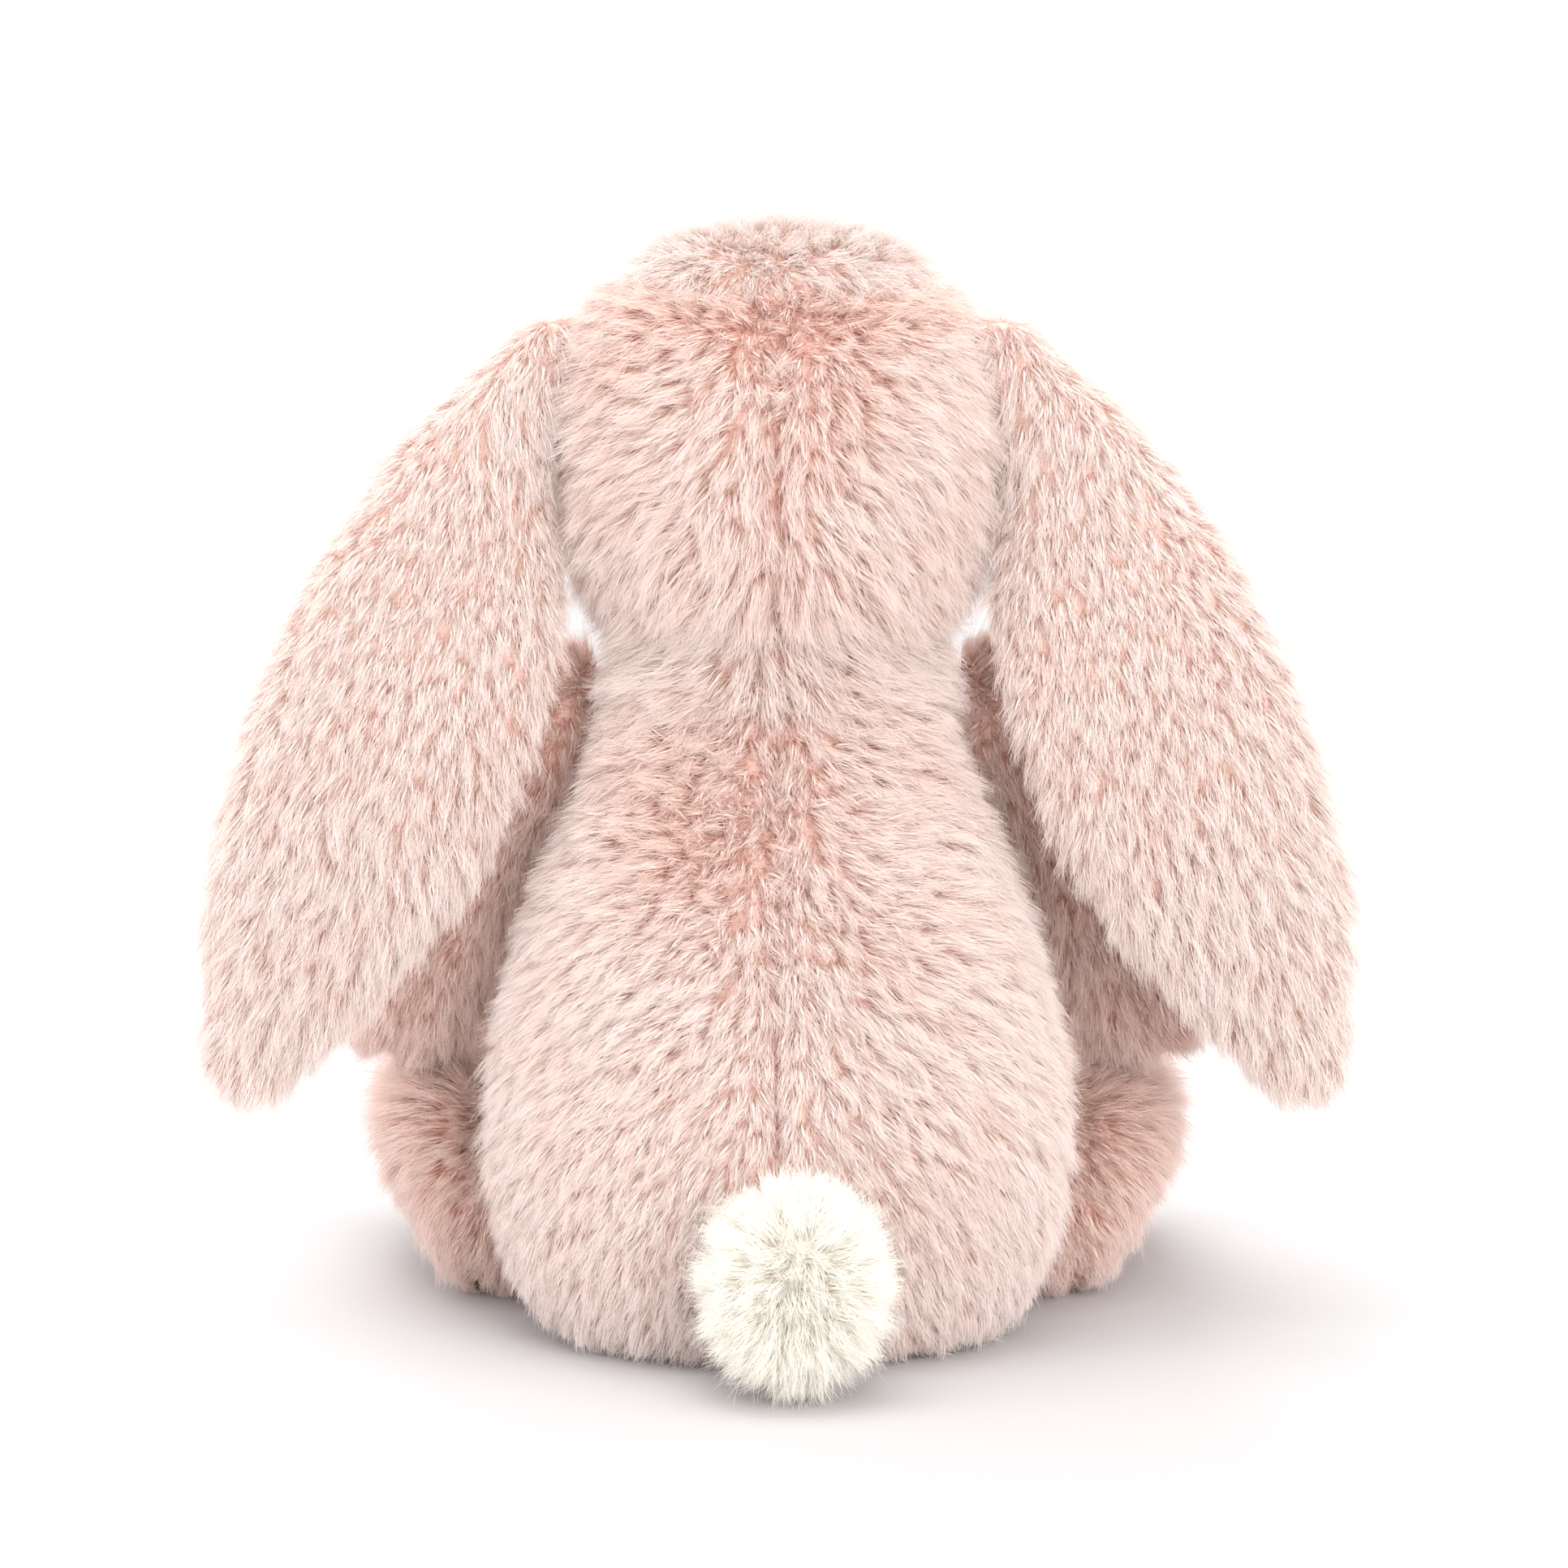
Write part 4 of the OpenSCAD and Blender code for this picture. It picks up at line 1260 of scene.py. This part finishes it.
def on_skin(tree, x, z, away, clear):
    """The point of a skin that faces away (1 back, -1 front) at x and z, moved clear of it."""
    start = Vector((x, away * 0.3, z))
    hit, normal, _, _ = tree.ray_cast(start, Vector((0, -away, 0)))
    if hit is None:
        raise RuntimeError(f"no skin at x {x:.4f}, z {z:.4f}")
    return np.array(hit + normal * clear)


class RABBIT_OT_face(bpy.types.Operator):
    """Finishes the moulded eyes and the washers behind them, and makes the satin-stitched nose and the mouth
    """

    bl_idname = "rabbit.face"
    bl_label = "Face"

    def execute(self, context):
        # Moulded ABS, polished: near black with a clear gloss
        gloss = mottled_material(
            "polished_abs_eye", "#1D1310", "#0E0908", 2 * MM, 0.00001, 0.12, 0.6, coat_weight=1.0
        )
        # Nylon washers: milky, semi-matt
        nylon = mottled_material("moulded_nylon_washer", "#E4E6E8", "#D2D5D8", 1.5 * MM, 0.00004, 0.45, 0.4)
        for side in SIDES:
            finished(frame["nodes"][f"eye_{side}"], gloss)
        finished(frame["nodes"]["eye_washers"], nylon, smooth=False)
        # Stranded rayon: bright along the stitch
        floss = mottled_material(
            "stranded_rayon_floss", "#D79A93", "#BE7F78", 0.6 * MM, 0.00005, 0.38, 0.5, sheen=0.3
        )
        head = bpy.data.objects["head_skin"]
        tree = BVHTree.FromObject(head, bpy.context.evaluated_depsgraph_get())
        low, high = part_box("nose")
        wide, tall = high.x - low.x, high.z - low.z
        stitches = []
        gap = 0.55 * MM
        for k in range(-int(wide / 2 / gap), int(wide / 2 / gap) + 1):
            x = k * gap
            share = abs(x) / (wide / 2)
            top = high.z - tall * 0.10 * share**3 - tall * 0.06 * (1 - share)
            bottom = low.z + tall * (0.9 * share**1.25)
            if top - bottom < 0.8 * MM:
                continue
            line = []
            for f in np.linspace(0, 1, 9):
                z = top + (bottom - top) * f
                dome = 1.5 + 1.4 * math.sin(math.pi * f) * math.sqrt(max(0, 1 - share**2))
                line.append(on_skin(tree, x, z, -1, dome * MM))
            stitches.append(tube(line, gap * 0.6, 8))
        points, faces = joined_tubes(stitches)
        nose = make_mesh("nose_embroidery", points, faces, [floss])
        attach(nose, "head")
        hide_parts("nose")
        # Spun polyester thread: matt, with a fine grain
        thread = mottled_material(
            "polyester_sewing_thread", "#C98F86", "#B5786F", 0.4 * MM, 0.00004, 0.6, 0.3
        )
        clear = 2.2 * MM
        mouth_low, mouth_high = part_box("mouth_stitch")
        fork = mouth_high.z - 4.5 * MM
        stem = [on_skin(tree, 0, z, -1, clear) for z in np.linspace(low.z + 0.5 * MM, fork, 7)]
        plies = twisted(stem, MOUTH_PLY, 1.6 * MM)
        for way in (-1, 1):
            half = mouth_high.x
            curve = [
                on_skin(tree, way * half * f, fork - 2.6 * MM * math.sin(f * math.pi * 0.62), -1, clear)
                for f in np.linspace(0, 1, 9)
            ]
            plies += twisted(curve, MOUTH_PLY, 1.6 * MM)
        points, faces = joined_tubes(plies)
        mouth = make_mesh("mouth_thread", points, faces, [thread])
        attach(mouth, "head")
        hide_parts("mouth_stitch")
        return {"FINISHED"}


# ---- seams and filling ------------------------------------------------------------------------------


class RABBIT_OT_seams(bpy.types.Operator):
    """Makes the ladder stitch that closes the back of the torso, and the neck that joins the head"""

    bl_idname = "rabbit.seams"
    bl_label = "Seams and neck"

    def execute(self, context):
        coat = context.scene.rabbit_coat
        thread = bpy.data.materials["polyester_sewing_thread"]
        torso = bpy.data.objects["torso_skin"]
        tree = BVHTree.FromObject(torso, bpy.context.evaluated_depsgraph_get())
        low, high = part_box("closing_stitch")
        step = 2.2 * MM
        rungs = []
        for k in range(int((high.z - low.z) / step)):
            z = low.z + k * step
            side = 1 if k % 2 else -1
            rungs.append(on_skin(tree, side * 0.9 * MM, z, 1, 0.3 * MM))
            rungs.append(on_skin(tree, side * 0.9 * MM, z + step * 0.5, 1, 0.45 * MM))
        points, faces = joined_tubes(twisted(rungs, LADDER_PLY, 1.2 * MM))
        ladder = make_mesh("closing_ladder_stitch", points, faces, [thread])
        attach(ladder, "torso")
        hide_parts("closing_stitch")
        self.neck(coat)
        return {"FINISHED"}

    def neck(self, coat):
        """A furred collar of cloth from the torso's neck opening to the head's; its upper fibres go with the
        head and its lower ones with the torso.
        """
        torso_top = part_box("belly_panel")[1].z
        head_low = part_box("face_left")[0].z
        torso_rim = node_points("torso_back_left", "torso_back_right", "belly_panel")
        torso_rim = torso_rim[torso_rim[:, 2] > torso_top - 1 * MM]
        head_rim = node_points("head_back_left", "head_back_right", "face_left", "face_right")
        head_rim = head_rim[head_rim[:, 2] < head_low + 1 * MM]
        count, rows = 56, 9
        turn = np.arange(count) * 2 * math.pi / count
        rings = []
        for k in range(rows):
            f = k / (rows - 1)
            z = torso_top - 5 * MM + (head_low - torso_top + 10 * MM) * f
            ends = []
            for rim in (torso_rim, head_rim):
                a, b = rim.min(axis=0), rim.max(axis=0)
                ends.append([(b[0] - a[0]) / 2, (b[1] - a[1]) / 2, (a[1] + b[1]) / 2])
            waist = 1.2 * MM + 1.2 * MM * math.sin(math.pi * f)
            half_x, half_y, centre = np.array(ends[0]) * (1 - f) + np.array(ends[1]) * f - [waist, waist, 0]
            ring = [half_x * np.sin(turn), centre + half_y * np.cos(turn), np.full(count, z)]
            rings.append(np.stack(ring, axis=1))
        faces = []
        for k in range(rows - 1):
            for t in range(count):
                low, high, beside = k * count, (k + 1) * count, (t + 1) % count
                faces.append([low + t, high + t, high + beside, low + beside])
        backing = bpy.data.materials["knitted_polyester_backing"]
        collar = make_mesh("neck_skin", np.vstack(rings), faces, [backing])
        solid = collar.modifiers.new("cloth", "SOLIDIFY")
        solid.thickness = 1.2 * MM
        solid.offset = -1
        settled(collar)
        rng = np.random.default_rng(31)
        guides = make_guides(collar, torso_flow, coat, rng)
        middle = np.array([0, rings[0][:, 1].mean(), 0])
        outward = ((guides["root"] - middle) * guides["normal"])[:, :2].sum(axis=1) > 0
        guides = chosen(guides, outward)
        guides["rise"] = guides["rise"] + 0.1
        guides["length"] = guides["length"] * 1.25
        locks = locks_object("neck_pile", guides, bpy.data.materials["long_plush_locks"])
        for piece in (collar, locks):
            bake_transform(piece)
        material = bpy.data.materials["long_plush_fibres"]
        above = guides["root"][:, 2] > (torso_top + head_low) / 2
        for body, mask in (("torso", ~above), ("head", above)):
            fibres = fibres_object(f"neck_{body}_fibres", chosen(guides, mask), coat, material, rng)
            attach(fibres, body)


PELLET_PITCH = 3.6 * MM
PELLET_SHARE = 0.55  # the share of the places in the pouch that hold a pellet


class RABBIT_OT_filling(bpy.types.Operator):
    """Makes the fibre filling in each part, and the pouch of pellets that weighs the seat"""

    bl_idname = "rabbit.filling"
    bl_label = "Filling"

    def execute(self, context):
        # Carded hollow-fibre polyester: cloudy, matt and very white
        wadding = mottled_material(
            "carded_polyester_filling", "#F8F8F6", "#E6E6E2", 6 * MM, 0.0015, 0.95, 0.05
        )
        for node in [n for n in frame["nodes"] if n.endswith("_stuffing")]:
            fill = remeshed(node.replace("_stuffing", "_filling"), [node], 3.5 * MM, 2)
            points = get_points(fill.data)
            lumps = 0.7 * drift(points, 14 * MM, 9) + 0.4 * drift(points, 6 * MM, 10)
            pushed(fill.data, ((lumps - 2.3) * MM)[:, None])
            finished(fill, wadding)
            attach(fill, frame["nodes"][node]["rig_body"])
            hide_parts(node)
        self.pouch()
        return {"FINISHED"}

    def pouch(self):
        """The pellets as small moulded beads, inside a plain cotton bag."""
        # Woven cotton: dull and slightly uneven; the pellets are polyethylene with a dull gloss
        calico = mottled_material(
            "cotton_calico", "#EAE6DC", "#DAD4C6", 0.8 * MM, 0.0002, 0.9, 0.1, sheen=0.2
        )
        beads_material = mottled_material("pe_pellets", "#D3D8DC", "#BFC6CC", 1 * MM, 0.00005, 0.35, 0.4)
        bag = joined("pellet_bag", ["pellet_pouch"])
        bag.modifiers.new("soft", "SUBSURF").levels = 1
        settled(bag)
        pushed(bag.data, -0.3 * MM)
        finished(bag, calico, smooth=False)
        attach(bag, "torso")
        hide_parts("pellet_pouch")
        tree = tree_of("pellet_fill")
        low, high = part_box("pellet_fill")
        rng = np.random.default_rng(41)
        pitch = PELLET_PITCH
        form = bmesh.new()
        bmesh.ops.create_icosphere(form, subdivisions=2, radius=pitch * 0.48)
        ball = np.array([v.co for v in form.verts])
        ball_faces = [[v.index for v in f.verts] for f in form.faces]
        form.free()
        parts = []
        for x in np.arange(low.x + pitch, high.x - pitch, pitch):
            for y in np.arange(low.y + pitch, high.y - pitch, pitch):
                for z in np.arange(low.z + pitch * 0.6, high.z - pitch * 0.5, pitch):
                    place = Vector((x, y, z))
                    hit, normal, _, far = tree.find_nearest(place)
                    if (place - hit).dot(normal) > 0 or far < pitch * 0.5:
                        continue
                    if rng.random() >= PELLET_SHARE:
                        continue
                    squash = np.array([1, 1, 0.8])[rng.permutation(3)]
                    parts.append((ball * squash + np.array(place), ball_faces))
        points, faces = joined_tubes(parts)
        beads = make_mesh("pellet_beads", points, faces, [beads_material])
        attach(beads, "torso")
        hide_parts("pellet_fill")


# ---- studio ----------------------------------------------------------------------------------------


# The soft boxes: name, place, width, watts and colour
LIGHTS = (
    ("top_light", (0.2, 0.3, 2.4), 1.8, 25, "#FFFFFF"),
    ("camera_light", (-0.8, 2.35, 1.0), 1.7, 51, "#FFFAF7"),
    ("left_light", (2.0, 1.3, 0.9), 1.6, 13, "#FFFAF7"),
    ("front_light", (0.7, -2.3, 1.2), 1.8, 36, "#FFFFFF"),
)


def soft_box(aim, name, place, size, power, tint):
    """A square studio light that faces a point."""
    light = bpy.data.lights.new(name, "AREA")
    light.size = size
    light.energy = power
    light.color = to_linear(tint)[:3]
    obj = link(bpy.data.objects.new(name, light))
    obj.location = place
    obj.rotation_euler = (Vector(place) - Vector(aim)).to_track_quat("Z", "Y").to_euler()
    return obj


class RABBIT_OT_stage(bpy.types.Operator):
    """Sets the floor, the lights and the camera"""

    bl_idname = "rabbit.stage"
    bl_label = "Studio"

    def execute(self, context):
        stage = context.scene.rabbit_stage
        scene = context.scene
        self.floor(stage)
        aim = Vector((-stage.aim_side, stage.aim_back, stage.aim_height))
        for light in LIGHTS:
            soft_box(aim, *light)
        world = bpy.data.worlds.new("studio")
        world.use_nodes = True
        sky = world.node_tree.nodes["Background"]
        sky.inputs["Color"].default_value = to_linear("#FFFFFF")
        sky.inputs["Strength"].default_value = 1.0
        scene.world = world
        scene.view_settings.view_transform = "Standard"
        scene.view_settings.look = "None"
        data = bpy.data.cameras.new("camera")
        data.sensor_width = 36
        data.lens = data.sensor_width * stage.distance / stage.field
        data.clip_end = 50
        camera = link(bpy.data.objects.new("camera", data))
        way = Vector((0, math.cos(stage.elevation), math.sin(stage.elevation)))
        camera.location = aim + way * stage.distance
        camera.rotation_euler = way.to_track_quat("Z", "Y").to_euler()
        scene.camera = camera
        return {"FINISHED"}

    def floor(self, stage):
        """Matt painted board, which fades into the white of the room before its edge."""
        corners = 96
        around = np.linspace(0, 2 * math.pi, corners, endpoint=False)
        edge = np.stack([np.cos(around), np.sin(around), np.zeros(corners)], axis=1) * FLOOR_RADIUS
        floor = make_mesh("floor", edge, [list(range(corners))], [])
        material, tree = new_material("matt_white_board")
        place = add_node(tree, "ShaderNodeTexCoord").outputs["Object"]
        noise = add_node(tree, "ShaderNodeTexNoise", None, {"Vector": place, "Scale": 900.0, "Detail": 2.0})
        pale, shade = rgba(stage.floor), rgba(stage.floor, 0.985)
        base = ramp(tree, noise.outputs["Fac"], [(0.3, shade), (0.5, pale), (1.0, pale)])
        inputs = {"Base Color": base, "Roughness": 0.7, "Specular IOR Level": 0.1}
        board = add_node(tree, "ShaderNodeBsdfPrincipled", None, inputs)
        glow = add_node(tree, "ShaderNodeEmission", None, {"Color": to_linear("#FFFFFF"), "Strength": 1.0})
        far = add_node(tree, "ShaderNodeVectorMath", {"operation": "LENGTH"}, {0: place})
        inputs = {"Value": far.outputs["Value"], "From Min": FADE_FROM, "From Max": FADE_TO}
        fade = add_node(tree, "ShaderNodeMapRange", {"interpolation_type": "SMOOTHSTEP"}, inputs)
        inputs = {0: fade.outputs[0], 1: board.outputs[0], 2: glow.outputs[0]}
        both = add_node(tree, "ShaderNodeMixShader", None, inputs)
        add_node(tree, "ShaderNodeOutputMaterial", None, {"Surface": both.outputs[0]})
        floor.data.materials.append(material)


# ---- add-on ----------------------------------------------------------------------------------------

OPERATORS = (
    RABBIT_OT_stage,
    RABBIT_OT_coat_materials,
    RABBIT_OT_skins,
    RABBIT_OT_torso_pile,
    RABBIT_OT_head_pile,
    RABBIT_OT_ear_pile,
    RABBIT_OT_limb_pile,
    RABBIT_OT_tail,
    RABBIT_OT_face,
    RABBIT_OT_seams,
    RABBIT_OT_filling,
)


class RABBIT_PT_panel(bpy.types.Panel):
    """Lists the rabbit's pieces in the order they are made"""

    bl_idname = "RABBIT_PT_panel"
    bl_label = "Plush rabbit"
    bl_space_type = "VIEW_3D"
    bl_region_type = "UI"
    bl_category = "Plush"

    def draw(self, context):
        for group in (context.scene.rabbit_coat, context.scene.rabbit_body, context.scene.rabbit_stage):
            box = self.layout.box()
            for name in group.bl_rna.properties.keys():
                if name not in ("rna_type", "name"):
                    box.prop(group, name)
        for operator in OPERATORS:
            self.layout.operator(operator.bl_idname)


CLASSES = (CoatSettings, BodySettings, StageSettings, *OPERATORS, RABBIT_PT_panel)


def register():
    for item in CLASSES:
        bpy.utils.register_class(item)
    bpy.types.Scene.rabbit_coat = PointerProperty(type=CoatSettings)
    bpy.types.Scene.rabbit_body = PointerProperty(type=BodySettings)
    bpy.types.Scene.rabbit_stage = PointerProperty(type=StageSettings)


def unregister():
    del bpy.types.Scene.rabbit_stage
    del bpy.types.Scene.rabbit_body
    del bpy.types.Scene.rabbit_coat
    for item in reversed(CLASSES):
        bpy.utils.unregister_class(item)


def main():
    register()
    for operator in OPERATORS:
        group, name = operator.bl_idname.split(".")
        getattr(getattr(bpy.ops, group), name)()


if __name__ == "__main__":
    main()
